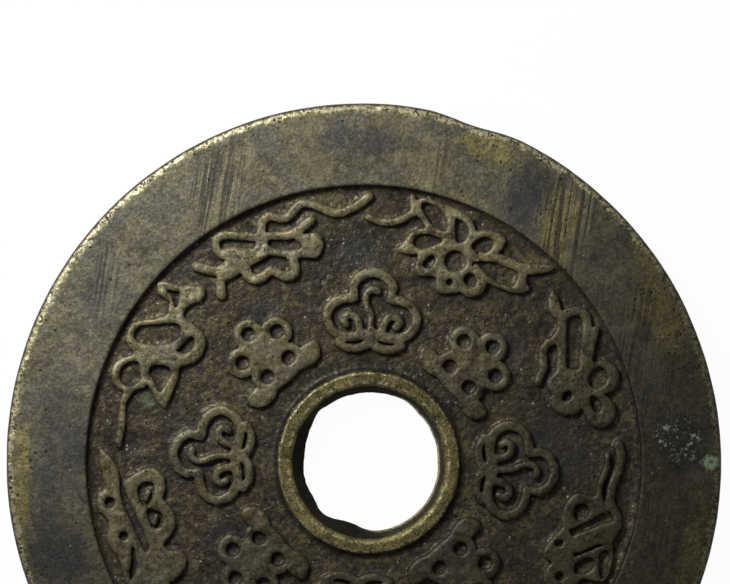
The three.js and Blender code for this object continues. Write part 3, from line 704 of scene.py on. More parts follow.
def slab(inside, top, x, y, bottom):
    """Points and faces of a closed slab over the grid points that are marked inside.

    A square is kept when its four corners are inside. Where two kept squares touch only at a
    corner, a square between them is kept too, so that no two walls meet in one line.
    """
    kept = inside[:-1, :-1] & inside[1:, :-1] & inside[:-1, 1:] & inside[1:, 1:]
    for _ in range(FILLING_PASSES):
        rising = kept[:-1, :-1] & kept[1:, 1:] & ~kept[1:, :-1] & ~kept[:-1, 1:]
        falling = kept[1:, :-1] & kept[:-1, 1:] & ~kept[:-1, :-1] & ~kept[1:, 1:]
        kept[1:, :-1] |= rising
        kept[:-1, :-1] |= falling
    j, i = np.nonzero(kept)
    width = inside.shape[1]
    ring = np.stack([j * width + i, j * width + i + 1, (j + 1) * width + i + 1, (j + 1) * width + i], 1)
    used, numbers = np.unique(ring, return_inverse=True)
    ring = numbers.reshape(-1, 4)
    under = ring + len(used)
    padded = np.pad(kept, 1)
    neighbours = [padded[j, i + 1], padded[j + 1, i + 2], padded[j + 2, i + 1], padded[j + 1, i]]
    faces = [ring, under[:, ::-1]]
    for side, neighbour in enumerate(neighbours):
        a = ring[~neighbour, side]
        b = ring[~neighbour, (side + 1) % 4]
        faces.append(np.stack([a + len(used), b + len(used), b, a], 1))
    top_points = np.stack([x.ravel()[used], y.ravel()[used], top.ravel()[used]], 1)
    bottom_points = top_points.copy()
    bottom_points[:, 2] = bottom
    return np.concatenate([top_points, bottom_points]), np.concatenate(faces), used


small_slab = slab(np.ones((3, 3), bool), np.zeros((3, 3)), *np.meshgrid(range(3), range(3)), -1)
print("a slab over 3 by 3 points has", len(small_slab[1]), "faces")

# %% [markdown]
# The rise could follow one fixed rounding, but the real strokes are crisp where they are broad and
# soft where they are narrow. A wider blur is small in a narrow stroke, so it tells the two apart and
# takes a little off the height of the narrow ones. Noise then makes the tops as uneven as the rest
# of the cast.

# %% Make the figures
BLUR = 0.085
BROAD_BLUR = 0.2
SLAB_DEPTH = 0.55
STROKE_WOBBLE = [(0.6, 0.9, 41), (0.6, 0.4, 42)]
STROKE_WEAR = [(0.05, 1.4, 43), (0.04, 0.6, 44)]
RISES_OVER = (0.08, 0.58)
NARROW_CROWN = 0.82
NARROW_TO_BROAD = (0.35, 1.0)
SLAB_EDGE = 0.03


def relief(name):
    """A figure's grid places, its heights, how far each has risen, and where the slab is.

    The blurred cover, made a little thicker here and thinner there, gives the rise. The height
    runs from below the field to the relief's top, less a little in narrow strokes, whose wider
    blur is smaller.
    """
    first, count = windows[name]
    x, y = np.meshgrid(*[(first[k] + np.arange(count[k]) + 0.5) * CELL - GRID_HALF for k in (0, 1)])
    soft = blurred(covers[name], BLUR)
    broad = blurred(covers[name], BROAD_BLUR)
    soft = soft + layered_noise(x, y, 0, STROKE_WOBBLE) * soft * (1 - soft)
    rise = smoothstep(soft, *RISES_OVER)
    crown = NARROW_CROWN + (1 - NARROW_CROWN) * smoothstep(broad, *NARROW_TO_BROAD)
    plain = FIELD - SUNK + (RELIEF_TOP - FIELD + SUNK) * rise * crown
    top = plain + cast_unevenness(x, y, FIELD) + rise * layered_noise(x, y, 0, STROKE_WEAR)
    return x, y, top, (plain - FIELD) / (RELIEF_TOP - FIELD), soft > SLAB_EDGE


for name in figures:
    x, y, top, risen, inside = relief(name)
    points, faces, used = slab(inside, top, x, y, FIELD - SLAB_DEPTH)
    marks = {"tone": tone_with_painted_falloff(points), "rise": np.tile(risen.ravel()[used], 2)}
    make_piece(name + "_cast", points, faces, marks, "worn_relief", name)

# %% [markdown]
# ## The sunken field
# The field is a ring-shaped plate between the rim and the collar, sunk on both faces. The collar
# lies a little off centre, so the plate's inner edge is shifted with it. The metal climbs slightly
# at every wall and stroke, as it does in a mould. Face and back are two thin slabs whose borders run
# on under the rim and the collar.

# %% The field's unevenness
FIELD_STEPS = 950
TUCK = 0.25
FIELD_DEPTH = 0.4
CLIMB = 0.26
CLIMB_BAND = (-0.1, 0.5)


def sampled(grid, x, y):
    """The grid's value at any place, mixed from the four squares whose middles are round it."""
    across = np.clip((x + GRID_HALF) / CELL - 0.5, 0, GRID_SIZE - 2)
    up = np.clip((y + GRID_HALF) / CELL - 0.5, 0, GRID_SIZE - 2)
    i = across.astype(int)
    j = up.astype(int)
    s = across - i
    t = up - j
    low = grid[j, i] * (1 - s) + grid[j, i + 1] * s
    high = grid[j + 1, i] * (1 - s) + grid[j + 1, i + 1] * s
    return low * (1 - t) + high * t


def climb(distance):
    """How far the field climbs at a wall: the full climb, times the square of a fading band."""
    return CLIMB * (1 - smoothstep(distance, *CLIMB_BAND)) ** 2


def no_change(degrees):
    """The field's two borders are true circles."""
    return 0 * degrees


print("the field climbs", climb(0.0).round(2), "mm at a wall")

# %% [markdown]
# Dirt fills the corners at the wall and the collar. A painted shadow also lies beside every stroke,
# on its lower right, where the lamp's shadow falls. The blurred figures, looked up a little to the
# upper left of each point, tell where it lies, and it is stored with the dirt. Darker stains and
# patches of pale dust lie on the face of the field, each listed like the rim's. The back has neither.

# %% The field's patches
FIELD_STAINS = [
    (-0.2, 17.6, 2.6, 2.0, 0.9, 0),
    (-8.6, 12.4, 1.8, 1.6, 0.7, 20),
    (11.6, 9.0, 2.0, 2.6, 0.6, 0),
    (16.2, 0.8, 3.8, 3.4, 0.9, 0),
    (-16.4, 3.6, 1.6, 1.2, 0.6, 0),
    (-12.0, -6.5, 2.4, 2.0, 0.6, 0),
]
FIELD_DUST = [
    (-0.6, 17.4, 2.4, 1.2, 0.85, -10),
    (-3.4, 15.4, 1.0, 1.0, 0.8, 0),
    (8.4, 5.6, 1.2, 0.7, 0.7, -30),
    (22.6, -3.6, 0.7, 2.4, 0.8, 0),
    (-7.4, 15.4, 0.8, 0.8, 0.8, 0),
]
print("the field has", len(FIELD_STAINS), "stains and", len(FIELD_DUST), "dusty patches")

# %% Make both sides of the field
SHADOW_REACH = 0.22
SHADOWS_FALL_TOWARDS = np.radians(142)
PAINTED_SHADOW = 0.8
PAINTED_SHADOW_RANGE = (0.12, 0.72)
WALL_DIRT = 0.65
CORNER_BAND = (0.05, 0.6)
WALL_SCALE = 1.3
COLLAR_SCALE = 1.6
STROKE_CLIMB = 0.08
STROKE_RANGE = (0.02, 0.4)
HIDDEN_ROWS = 8
FACE_ROWS = 88
BACK_ROWS = 60
SAME_HEIGHT = 0.01


def make_field(name, top, inward, rows):
    """Makes one side of the field as a slab. inward is 1 for the face and -1 for the back.

    Its profile is a thin rectangle that reaches under the rim and the collar. The rows that show
    are lifted by the cast's unevenness and by the climb at both walls, and those of the face by a
    climb at the strokes too. Dirt is 1 in a corner and fades over the corner band. On the face, a
    painted shadow is added to it on the lower right of every stroke.
    """
    outer = WALL_RADIUS + TUCK
    inner = COLLAR_FOOT - TUCK
    deep = top - inward * FIELD_DEPTH
    upper, lower = max(top, deep), min(top, deep)
    rows_above, rows_below = (rows, HIDDEN_ROWS) if inward > 0 else (HIDDEN_ROWS, rows)
    profile = rounded_profile(
        [
            (outer, 0, lower, 0, 1, 0),
            (outer, 0, upper, 0, 1, rows_above),
            (inner, 1, upper, 0, 1, 0),
            (inner, 1, lower, 0, 1, rows_below),
        ]
    )
    points, _ = carried_round(profile, FIELD_STEPS, no_change, profile[1] * COLLAR_SHIFT)
    x, y, z = np.moveaxis(points, -1, 0)
    to_wall = WALL_RADIUS - np.hypot(x, y)
    to_collar = np.hypot(x - COLLAR_SHIFT, y) - COLLAR_FOOT
    shows = np.abs(z - top) < SAME_HEIGHT
    lift = cast_unevenness(x, y, top) + climb(to_wall) + climb(to_collar)
    at_wall = WALL_DIRT * (1 - smoothstep(WALL_SCALE * to_wall, *CORNER_BAND))
    at_collar = 1 - smoothstep(COLLAR_SCALE * to_collar, *CORNER_BAND)
    dirt_and_shade = np.maximum(at_wall, at_collar)
    stain = 0 * dirt_and_shade
    dusty = 0 * dirt_and_shade
    if inward > 0:
        lift = lift + STROKE_CLIMB * smoothstep(sampled(foot_of_stroke, x, y), *STROKE_RANGE)
        # Painted shadow: the blurred strokes, looked up towards the lamp, darken the field on their lower
        # right.
        shadow_cover = sampled(close_to_stroke, x - SHADOW_REACH * np.sin(SHADOWS_FALL_TOWARDS), y - SHADOW_REACH * np.cos(SHADOWS_FALL_TOWARDS))
        dirt_and_shade = np.maximum(dirt_and_shade, PAINTED_SHADOW * smoothstep(shadow_cover, *PAINTED_SHADOW_RANGE))
        stain = oval_patches(x, y, FIELD_STAINS)
        dusty = oval_patches(x, y, FIELD_DUST)
    tone = tone_with_painted_falloff(points)
    points[..., 2] += np.where(shows, inward * lift, 0)
    make_piece(
        name,
        points.reshape(-1, 3),
        ring_faces(FIELD_STEPS, profile.shape[1]),
        {"tone": tone, "dirt_and_shade": dirt_and_shade, "stain": stain, "dusty": dusty},
        "dark_field",
        "field_web",
    )


make_field("field_face", FIELD, 1, FACE_ROWS)
make_field("field_back", BACK_FIELD, -1, BACK_ROWS)

# %% [markdown]
# ## Small helpers for shader nodes
# A finish is a network of nodes. Written out in full, each node takes several lines, so a helper
# adds one and fills its inputs: a socket is linked, and a number or colour is set. Short names for
# sums, mixes and noise keep a finish readable.

# %% Add nodes and calculate with them


def fill(tree, node, inputs):
    """Links or sets a node's inputs, given by name or by number."""
    for name, value in inputs.items():
        if isinstance(value, bpy.types.NodeSocket):
            tree.links.new(value, node.inputs[name])
        else:
            node.inputs[name].default_value = value
    return node


def put(tree, kind, inputs, **settings):
    """Adds a node, sets its settings, and links or sets its inputs."""
    node = tree.nodes.new("ShaderNode" + kind)
    for name, value in settings.items():
        setattr(node, name, value)
    return fill(tree, node, inputs)


def calculate(tree, operation, *values):
    """The result of one Math node."""
    return put(tree, "Math", dict(enumerate(values)), operation=operation).outputs[0]


def times(tree, one, other):
    """The product of two values."""
    return calculate(tree, "MULTIPLY", one, other)


def scaled(tree, value, factor, extra):
    """A value times a factor, plus an extra."""
    return calculate(tree, "MULTIPLY_ADD", value, factor, extra)


def vector_math(tree, operation, one, other):
    """The Vector Math node for an operation on two vectors."""
    return put(tree, "VectorMath", {0: one, 1: other}, operation=operation)


def enlarged(tree, vector, factor):
    """A vector made longer by a factor."""
    return put(tree, "VectorMath", {0: vector, 3: factor}, operation="SCALE").outputs[0]


print("nodes are built for Blender", bpy.app.version_string)

# %% Mixes, ranges and noise


def blend(tree, share, base, layer, way="MIX"):
    """Two colours mixed by a share from 0 to 1."""
    return put(tree, "Mix", {0: share, 6: base, 7: layer}, data_type="RGBA", blend_type=way).outputs[2]


def between(tree, value, low, high, at_low=0.0, at_high=1.0):
    """A value carried smoothly from the range low to high onto at_low to at_high."""
    inputs = {0: value, 1: low, 2: high, 3: at_low, 4: at_high}
    return put(tree, "MapRange", inputs, interpolation_type="SMOOTHSTEP").outputs[0]


def speckle(tree, place, size, detail=2.0, roughness=0.55):
    """Noise whose lumps are about size millimetres across: its scale is 1 / size.

    size may be a socket or a number. Most of the noise lies between 0.3 and 0.7.
    """
    finer = calculate(tree, "DIVIDE", 1.0, size)
    inputs = {"Vector": place, "Scale": finer, "Detail": detail, "Roughness": roughness}
    return put(tree, "TexNoise", inputs).outputs[0]


print("lumps of 0.25 mm need a noise scale of", 1 / 0.25)

# %% Node groups, and colours as a screen shows them


def new_group(name, inputs, outputs):
    """An empty node group with named sockets. Returns the tree, its input sockets and its end."""
    tree = bpy.data.node_groups.new(name, "ShaderNodeTree")
    for way, sockets in (("INPUT", inputs), ("OUTPUT", outputs)):
        for socket_name, kind in sockets.items():
            tree.interface.new_socket(socket_name, in_out=way, socket_type="NodeSocket" + kind)
    start = tree.nodes.new("NodeGroupInput")
    return tree, start.outputs, tree.nodes.new("NodeGroupOutput")


def use(tree, group, inputs):
    """Places a node group in a material and fills its inputs. Returns its outputs."""
    return put(tree, "Group", inputs, node_tree=group).outputs


def paint(red, green, blue):
    """A colour as it looks on a screen, 0 to 255, turned into the linear values of a shader.

    Each part is a share of 255. Up to 0.04045 it is divided by 12.92, and above that it becomes
    ((share + 0.055) / 1.055) ^ 2.4, which is how screens store colour.
    """
    share = np.array([red, green, blue]) / 255
    linear = np.where(share <= 0.04045, share / 12.92, ((share + 0.055) / 1.055) ** 2.4)
    return (*linear.tolist(), 1.0)


print("the rim's grey olive is", [round(part, 3) for part in paint(86, 82, 66)])

# %% [markdown]
# ## A mottled patina
# Old brass isn't one colour. Its skin is mottled in patches of a few millimetres, in blotches of
# about one, and in a fine speckle. Three sizes of noise are added and drive a mix from dark through
# middle to light. Slow patches of cooler blue-grey and of warmer tan lie over that.

# %% The group: mottled patina
PATCH_SIZE = 3.4
BLOTCH_TO_SPECK = 3.2
MOTTLE_RANGE = (0.75, 1.35)
TINT_SIZE = 3.6
TINGE_SIZE = 0.55
WARM_RANGE = (0.36, 0.5)
COOL_RANGE = (0.5, 0.64)
ELSEWHERE = (31.0, 17.0, 5.0)

mottled_patina, given, end = new_group(
    "mottled_patina",
    {
        "Place": "Vector",
        "Dark": "Color",
        "Middle": "Color",
        "Light": "Color",
        "Cool": "Color",
        "Cool share": "Float",
        "Warm": "Color",
        "Warm share": "Float",
        "Speckle size": "Float",
    },
    {"Color": "Color", "Mottle": "Float"},
)
tree = mottled_patina
patches = speckle(tree, given["Place"], PATCH_SIZE)
blotches = speckle(tree, given["Place"], times(tree, given["Speckle size"], BLOTCH_TO_SPECK))
specks = speckle(tree, given["Place"], given["Speckle size"], roughness=0.7)
coarse = scaled(tree, patches, 0.5, times(tree, blotches, 0.6))
mottle = between(tree, calculate(tree, "ADD", specks, coarse), *MOTTLE_RANGE)
lower = blend(tree, between(tree, mottle, 0.0, 0.5), given["Dark"], given["Middle"])
colour = blend(tree, between(tree, mottle, 0.5, 1.0), lower, given["Light"])
elsewhere = vector_math(tree, "ADD", given["Place"], ELSEWHERE).outputs[0]
tinges = scaled(tree, speckle(tree, elsewhere, TINGE_SIZE, 3.0), 0.5, -0.125)
tints = scaled(tree, speckle(tree, elsewhere, TINT_SIZE, 3.0), 0.75, tinges)
warmth = times(tree, between(tree, tints, *WARM_RANGE, 1.0, 0.0), given["Warm share"])
colour = blend(tree, warmth, colour, given["Warm"])
coolness = times(tree, between(tree, tints, *COOL_RANGE), given["Cool share"])
fill(tree, end, {"Color": blend(tree, coolness, colour, given["Cool"]), "Mottle": mottle})
print("mottled_patina has", len(tree.nodes), "nodes")

# %% [markdown]
# ## File marks
# The rim was filed in strokes that run nearly up and down the coin. A noise that is stretched along
# the stroke gives long, thin streaks. A stored mark says how strong they are at each place.

# %% The group: file marks
FILE_SLANT = 0.15
STREAK_WIDTH = 0.25
STREAK_LENGTH = 8.0
STREAK_RANGE = (0.36, 0.64)
STREAK_HEIGHT = 0.012

file_marks, given, end = new_group(
    "file_marks", {"Place": "Vector", "Cover": "Float"}, {"Streaks": "Float", "Height": "Float"}
)
tree = file_marks
turned = put(tree, "VectorRotate", {"Vector": given["Place"], "Angle": FILE_SLANT}, rotation_type="Z_AXIS")
finer = (1 / STREAK_WIDTH, 1 / STREAK_LENGTH, 1.0)
stretched = vector_math(tree, "MULTIPLY", turned.outputs[0], finer).outputs[0]
streaks = put(tree, "TexNoise", {"Vector": stretched, "Scale": 1.0, "Detail": 1.5}).outputs[0]
streaks = times(tree, between(tree, streaks, *STREAK_RANGE, -1.0, 1.0), given["Cover"])
fill(tree, end, {"Streaks": streaks, "Height": times(tree, streaks, STREAK_HEIGHT)})
print("file_marks has", len(tree.nodes), "nodes")

# %% [markdown]
# ## Casting pits
# Gas and sand leave small round pits in cast metal. A Voronoi pattern scatters points; the ones
# whose random value is low enough become pits, dark in colour and sunk in the surface.

# %% The group: casting pits
PIT_WOBBLE = 0.22
PIT_SPACING = 1.8
PIT_BOWL = (0.15, 0.38)
PIT_DEPTH = 0.05

casting_pits, given, end = new_group(
    "casting_pits",
    {"Place": "Vector", "Size": "Float", "Share": "Float"},
    {"Pits": "Float", "Height": "Float"},
)
tree = casting_pits
wobble = put(tree, "TexNoise", {"Vector": given["Place"], "Scale": 5.0, "Detail": 1.0}).outputs[1]
wobbly = vector_math(tree, "ADD", given["Place"], enlarged(tree, wobble, PIT_WOBBLE)).outputs[0]
spacing = calculate(tree, "DIVIDE", 1.0, times(tree, given["Size"], PIT_SPACING))
cells = put(tree, "TexVoronoi", {"Vector": wobbly, "Scale": spacing}).outputs
chosen = put(tree, "SeparateColor", {0: cells["Color"]}).outputs[0]
chosen = calculate(tree, "LESS_THAN", chosen, given["Share"])
pits = times(tree, between(tree, cells["Distance"], *PIT_BOWL, 1.0, 0.0), chosen)
fill(tree, end, {"Pits": pits, "Height": times(tree, pits, -PIT_DEPTH)})
print("casting_pits has", len(tree.nodes), "nodes")

# %% [markdown]
# ## Wear, dirt and painted shade
# Marks are stored with a surface: how dirty a corner it lies in and how much painted shade it takes,
# how worn an edge it lies on, and its tone, which holds the painted fall-off of the light. This group
# lays bare metal on the worn edges, breaks it up with noise, darkens the dirty corners and the painted
# shade, and then fades the whole by the tone. A finish that leaves out dirt or edge has none of it.

# %% The group: wear, dirt and painted shade
WEAR_SIZE = 0.32
NOISE_RANGE = (0.3, 0.7)
WEAR_RANGE = (0.1, 0.9)
CRUMB_SIZE = 0.35
GRIME_STRENGTH = 0.7

wear_dirt_and_shade, given, end = new_group(
    "wear_dirt_and_shade",
    {
        "Place": "Vector",
        "Color": "Color",
        "Bare": "Color",
        "Grime": "Color",
        "Edge": "Float",
        "Dirt and shade": "Float",
        "Tone": "Float",
        "Darkest": "Float",
    },
    {"Color": "Color", "Bareness": "Float", "Grime cover": "Float"},
)
tree = wear_dirt_and_shade
broken = between(tree, speckle(tree, given["Place"], WEAR_SIZE, 2.0, 0.6), *NOISE_RANGE, -0.5, 0.5)
bareness = between(tree, scaled(tree, given["Edge"], 0.75, broken), *WEAR_RANGE)
bareness = times(tree, bareness, between(tree, given["Edge"], 0.05, 0.4))
colour = blend(tree, bareness, given["Color"], given["Bare"])
crumbs = speckle(tree, given["Place"], CRUMB_SIZE, 3.0, 0.6)
grime = scaled(tree, crumbs, 0.8, calculate(tree, "SUBTRACT", given["Dirt and shade"], 0.4))
grime = times(tree, between(tree, grime, 0.1, 0.9), between(tree, given["Dirt and shade"], 0.0, 0.3))
# Grime darkens dirt and painted shade alike.
colour = blend(tree, times(tree, grime, GRIME_STRENGTH), colour, given["Grime"])
# The tone fades the colour, and so paints the fall-off of the light.
lighter = calculate(tree, "SUBTRACT", 1.0, given["Darkest"])
faded = scaled(tree, given["Tone"], lighter, given["Darkest"])
shade = put(tree, "CombineColor", {0: faded, 1: faded, 2: faded}).outputs[0]
colour = blend(tree, 1.0, colour, shade, "MULTIPLY")
fill(tree, end, {"Color": colour, "Bareness": bareness, "Grime cover": grime})
print("wear_dirt_and_shade has", len(tree.nodes), "nodes")

# %% [markdown]
# ## A bloom of green
# Copper in the brass has turned green in a few small places. Each bloom has a middle and a size, and
# its edge is broken by noise.

# %% The group: green bloom
BLOOM_RAGGEDNESS = 2.4
BLOOM_STRENGTH = 0.7
BLOOM_FADES = (0.2, 1.2)

green_bloom, given, end = new_group(
    "green_bloom",
    {"Place": "Vector", "Color": "Color", "Green": "Color", "Middle": "Vector", "Size": "Float"},
    {"Color": "Color"},
)
tree = green_bloom
distance = vector_math(tree, "DISTANCE", given["Place"], given["Middle"]).outputs["Value"]
distance = calculate(tree, "DIVIDE", distance, given["Size"])
crumbled = scaled(tree, speckle(tree, given["Place"], 0.3, 3.0), BLOOM_RAGGEDNESS, -BLOOM_RAGGEDNESS / 2)
cover = between(tree, calculate(tree, "ADD", distance, crumbled), *BLOOM_FADES, BLOOM_STRENGTH, 0.0)
fill(tree, end, {"Color": blend(tree, cover, given["Color"], given["Green"])})
print("green_bloom has", len(tree.nodes), "nodes")

# %% [markdown]
# ## Dust
# Pale dust and fine scratches lie in a few patches of the rim and the field. A plain pale patch would
# look like paint, so noise breaks it into flecks, and they are densest where the stored mark is
# strongest.

# %% The group: dust
FLECK_SIZE = 0.34
DUST_STRENGTH = 0.75
FLECK_RANGE = (0.33, 0.6)

dust, given, end = new_group(
    "dust",
    {"Place": "Vector", "Color": "Color", "Pale": "Color", "Cover": "Float"},
    {"Color": "Color"},
)
tree = dust
flecks = scaled(tree, speckle(tree, given["Place"], FLECK_SIZE, 3.0, 0.65), 1.6, -1.0)
flecks = between(tree, scaled(tree, given["Cover"], 0.5, flecks), *FLECK_RANGE, 0.0, DUST_STRENGTH)
cover = times(tree, flecks, given["Cover"])
fill(tree, end, {"Color": blend(tree, cover, given["Color"], given["Pale"])})
print("dust has", len(tree.nodes), "nodes")

# %% [markdown]
# ## The four finishes
# Every finish starts from the place on the coin in millimetres, so that all the sizes above are
# real. The brass shows through its patina, so each finish is part metal. The finest grain is left
# to a Bump node, because it is smaller than the grids of points. Each finish reads only the stored
# marks that it names.

# %% Parts that the finishes share
ANOTHER_PART = (57.0, 23.0, 0.0)
finishes = {}


def new_finish(name, *mark_names):
    """A material with a Principled shader. Returns its tree, its place in millimetres and its marks."""
    finishes[name] = bpy.data.materials.new(name)
    finishes[name].use_nodes = True
    tree = finishes[name].node_tree
    place = enlarged(tree, put(tree, "TexCoord", {}).outputs["Object"], 1 / MM)
    marks = {mark: put(tree, "Attribute", {}, attribute_name=mark).outputs["Fac"] for mark in mark_names}
    return tree, place, marks


def end_finish(tree, colour, roughness, height, metallic, specular, bump):
    """Feeds the shader. height is in millimetres, and bump is how strongly it bends the light."""
    normal = put(tree, "Bump", {"Height": height, "Distance": MM, "Strength": bump}).outputs[0]
    inputs = {"Base Color": colour, "Metallic": metallic, "Specular IOR Level": specular}
    inputs |= {"Roughness": roughness, "Normal": normal}
    fill(tree, tree.nodes["Principled BSDF"], inputs)


def with_blooms(tree, place, colour, height, blooms, green):
    """Lays green blooms on a colour. Each has a middle at that height, in millimetres, and a size."""
    for x, y, size in blooms:
        inputs = {"Place": place, "Color": colour, "Green": green, "Middle": (x, y, height), "Size": size}
        colour = use(tree, green_bloom, inputs)["Color"]
    return colour


def with_specks_and_glints(tree, place, colour, pale, size, share, strength):
    """Lays small pale specks on a colour, where the skin is knocked through or dust has stuck.

    They stand partly for painted glints. They are the pits' scattered spots, taken from another
    part of the pattern.
    """
    moved = vector_math(tree, "ADD", place, ANOTHER_PART).outputs[0]
    spots = use(tree, casting_pits, {"Place": moved, "Size": size, "Share": share})["Pits"]
    return blend(tree, times(tree, spots, strength), colour, pale)


print("the finishes are built from", len(bpy.data.node_groups), "groups")

# %% [markdown]
# ### The rim's finish
# The rim was filed and then rubbed by many hands, so it is light, but no two places on it are alike.
# One noise can't give that, so the finish lays what happened to the rim in its order: stains on the
# skin, golden patches rubbed through both, and file marks cut into all of them. The outer shoulder
# is painted dark as shade, and the edge is bare, with pits and ragged dark notches that crowd in
# clusters.

# %% The rim's skin
rim_marks = ("tone", "rise", "dirt_and_shade", "edge", "stain", "filed", "golden", "dusty")
tree, place, marks = new_finish("rubbed_rim", *rim_marks)
skin = use(
    tree,
    mottled_patina,
    {
        "Place": place,
        "Dark": paint(60, 57, 46),
        "Middle": paint(86, 82, 66),
        "Light": paint(114, 109, 88),
        "Cool": paint(73, 76, 73),
        "Cool share": 0.5,
        "Warm": paint(96, 88, 64),
        "Warm share": 0.5,
        "Speckle size": 0.26,
    },
)
print("the rim's finish reads", len(rim_marks), "marks")

# %% [markdown]
# Pits and notches come in clusters: where the metal is bad in one place, it is bad all round it. A
# slow noise says where the clusters are, and the stored marks say how likely a pit is, most of all
# along the edge.

# %% The rim's pits and notches
RIM_PIT_SIZE = 0.23
NOTCH_SIZE = 0.3
NOTCH_DEPTH = 0.06
NOTCH_RANGE = (0.53, 0.63)
CLUSTER_SIZE = 1.4
CLUSTER_RANGE = (0.42, 0.62)
PITS_IN_STAINS = 0.25
PITS_IN_GOLD = 0.7
MOST_PITS = 0.65
FEWEST_PITS = 0.02

clusters = between(tree, speckle(tree, place, CLUSTER_SIZE, 1.0), *CLUSTER_RANGE, 0.2, 1.2)
pit_share = scaled(tree, marks["stain"], PITS_IN_STAINS, marks["edge"])
pit_share = scaled(tree, marks["golden"], PITS_IN_GOLD, pit_share)
pit_share = scaled(tree, times(tree, pit_share, clusters), MOST_PITS, FEWEST_PITS)
pitted = use(tree, casting_pits, {"Place": place, "Size": RIM_PIT_SIZE, "Share": pit_share})
ragged_spots = between(tree, speckle(tree, place, NOTCH_SIZE, 2.0, 0.6), *NOTCH_RANGE)
near_edge = calculate(tree, "MAXIMUM", marks["edge"], times(tree, marks["golden"], 0.3))
notches = times(tree, ragged_spots, times(tree, near_edge, clusters))
holes = calculate(tree, "MAXIMUM", pitted["Pits"], notches)
print("the rim's notches are", NOTCH_DEPTH, "mm deep")

# %% [markdown]
# A stain covers the dark of the skin more than its light specks. The gold is rubbed through in
# ragged patches. The file's streaks go both ways from nothing: the high ones are scraped pale, and
# the low ones are scored dark. The outer shoulder and wall take a dark colour as painted shade.

# %% The rim's stains, gold and file marks
RUB_SIZE = 0.5

filed = use(tree, file_marks, {"Place": place, "Cover": marks["filed"]})
dull = times(tree, scaled(tree, skin["Mottle"], -0.35, 0.95), marks["stain"])
stained = blend(tree, dull, skin["Color"], paint(50, 51, 54))
rub = scaled(tree, speckle(tree, place, RUB_SIZE, 3.0, 0.6), 1.2, -0.6)
rub = between(tree, calculate(tree, "ADD", marks["golden"], rub), 0.2, 1.0, 0.0, 0.85)
rub = times(tree, rub, between(tree, marks["golden"], 0.0, 0.25))
brass = blend(tree, skin["Mottle"], paint(84, 75, 43), paint(142, 131, 84))
golden = blend(tree, rub, stained, brass)
scraped = between(tree, filed["Streaks"], 0.0, 0.8, 0.0, 0.4)
scored = between(tree, filed["Streaks"], -0.8, 0.0, 0.7, 0.0)
streaked = blend(tree, scored, blend(tree, scraped, golden, paint(120, 112, 84)), paint(48, 46, 38))
# Painted shade: the outer shoulder and wall, turned away from the light, take a dark colour.
painted_shoulder_shade = between(tree, marks["rise"], 0.0, 1.0, 0.8, 0.0)
print("the rim's streaks are", STREAK_WIDTH, "mm wide and", STREAK_LENGTH, "mm long")

# %% [markdown]
# Last come wear and dirt, the holes, a few pale specks that are partly painted glints, flecks of
# dust, and one pale green bloom with a dark heart near the right edge. Bare metal is smoother than
# the skin, so it is less rough.

# %% The rim's wear, and its shader
RIM_BLOOM = [(29.0, 0.1, 0.75)]
BLOOM_HEART = [(29.0, 0.1, 0.3)]

worn = use(
    tree,
    wear_dirt_and_shade,
    {
        "Place": place,
        "Color": blend(tree, painted_shoulder_shade, streaked, paint(58, 54, 42)),
        "Bare": paint(166, 159, 128),
        "Grime": paint(22, 19, 14),
        "Edge": marks["edge"],
        "Dirt and shade": marks["dirt_and_shade"],
        "Tone": marks["tone"],
        "Darkest": 0.3,
    },
)
colour = blend(tree, times(tree, holes, 0.9), worn["Color"], paint(24, 21, 13))
# Pale specks, partly painted glints.
colour = with_specks_and_glints(tree, place, colour, paint(140, 138, 122), size=0.16, share=0.015, strength=0.5)
dusting = {"Place": place, "Color": colour, "Pale": paint(140, 146, 140), "Cover": marks["dusty"]}
colour = use(tree, dust, dusting)["Color"]
colour = with_blooms(tree, place, colour, FACE, RIM_BLOOM, paint(142, 160, 128))
colour = with_blooms(tree, place, colour, FACE, BLOOM_HEART, paint(20, 26, 18))
roughness = between(tree, worn["Bareness"], 0.0, 1.0, 0.52, 0.4)
ridges = scaled(tree, skin["Mottle"], 0.022, filed["Height"])
height = calculate(tree, "ADD", ridges, scaled(tree, notches, -NOTCH_DEPTH, pitted["Height"]))
end_finish(tree, colour, roughness, height, metallic=0.5, specular=0.3, bump=0.8)
print("rubbed_rim has", len(tree.nodes), "nodes")

# %% [markdown]
# ### The field's finish
# Fingers don't reach the bottom of the field, so it kept its dark, matt skin. The same groups are
# placed again with darker colours, more dirt, the painted shadow beside the strokes and no bare
# edges. Small dark pits, pale specks that are partly painted glints, and flecks of dust break up the
# dark, which would look like paint without them.

# %% The field: dark and dirty
FIELD_BLOOMS = [(-18.1, 5.2, 0.7), (21.1, 1.7, 0.4)]

tree, place, marks = new_finish("dark_field", "tone", "dirt_and_shade", "stain", "dusty")
skin = use(
    tree,
    mottled_patina,
    {
        "Place": place,
        "Dark": paint(21, 17, 11),
        "Middle": paint(48, 42, 28),
        "Light": paint(86, 78, 53),
        "Cool": paint(41, 40, 38),
        "Cool share": 0.6,
        "Warm": paint(60, 52, 35),
        "Warm share": 0.5,
        "Speckle size": 0.42,
    },
)
pitted = use(tree, casting_pits, {"Place": place, "Size": 0.24, "Share": 0.16})
worn = use(
    tree,
    wear_dirt_and_shade,
    {
        "Place": place,
        "Color": blend(tree, times(tree, marks["stain"], 0.6), skin["Color"], paint(38, 40, 42)),
        "Grime": paint(18, 15, 10),
        "Dirt and shade": marks["dirt_and_shade"],
        "Tone": marks["tone"],
        "Darkest": 0.9,
    },
)
colour = blend(tree, times(tree, pitted["Pits"], 0.6), worn["Color"], paint(14, 12, 8))
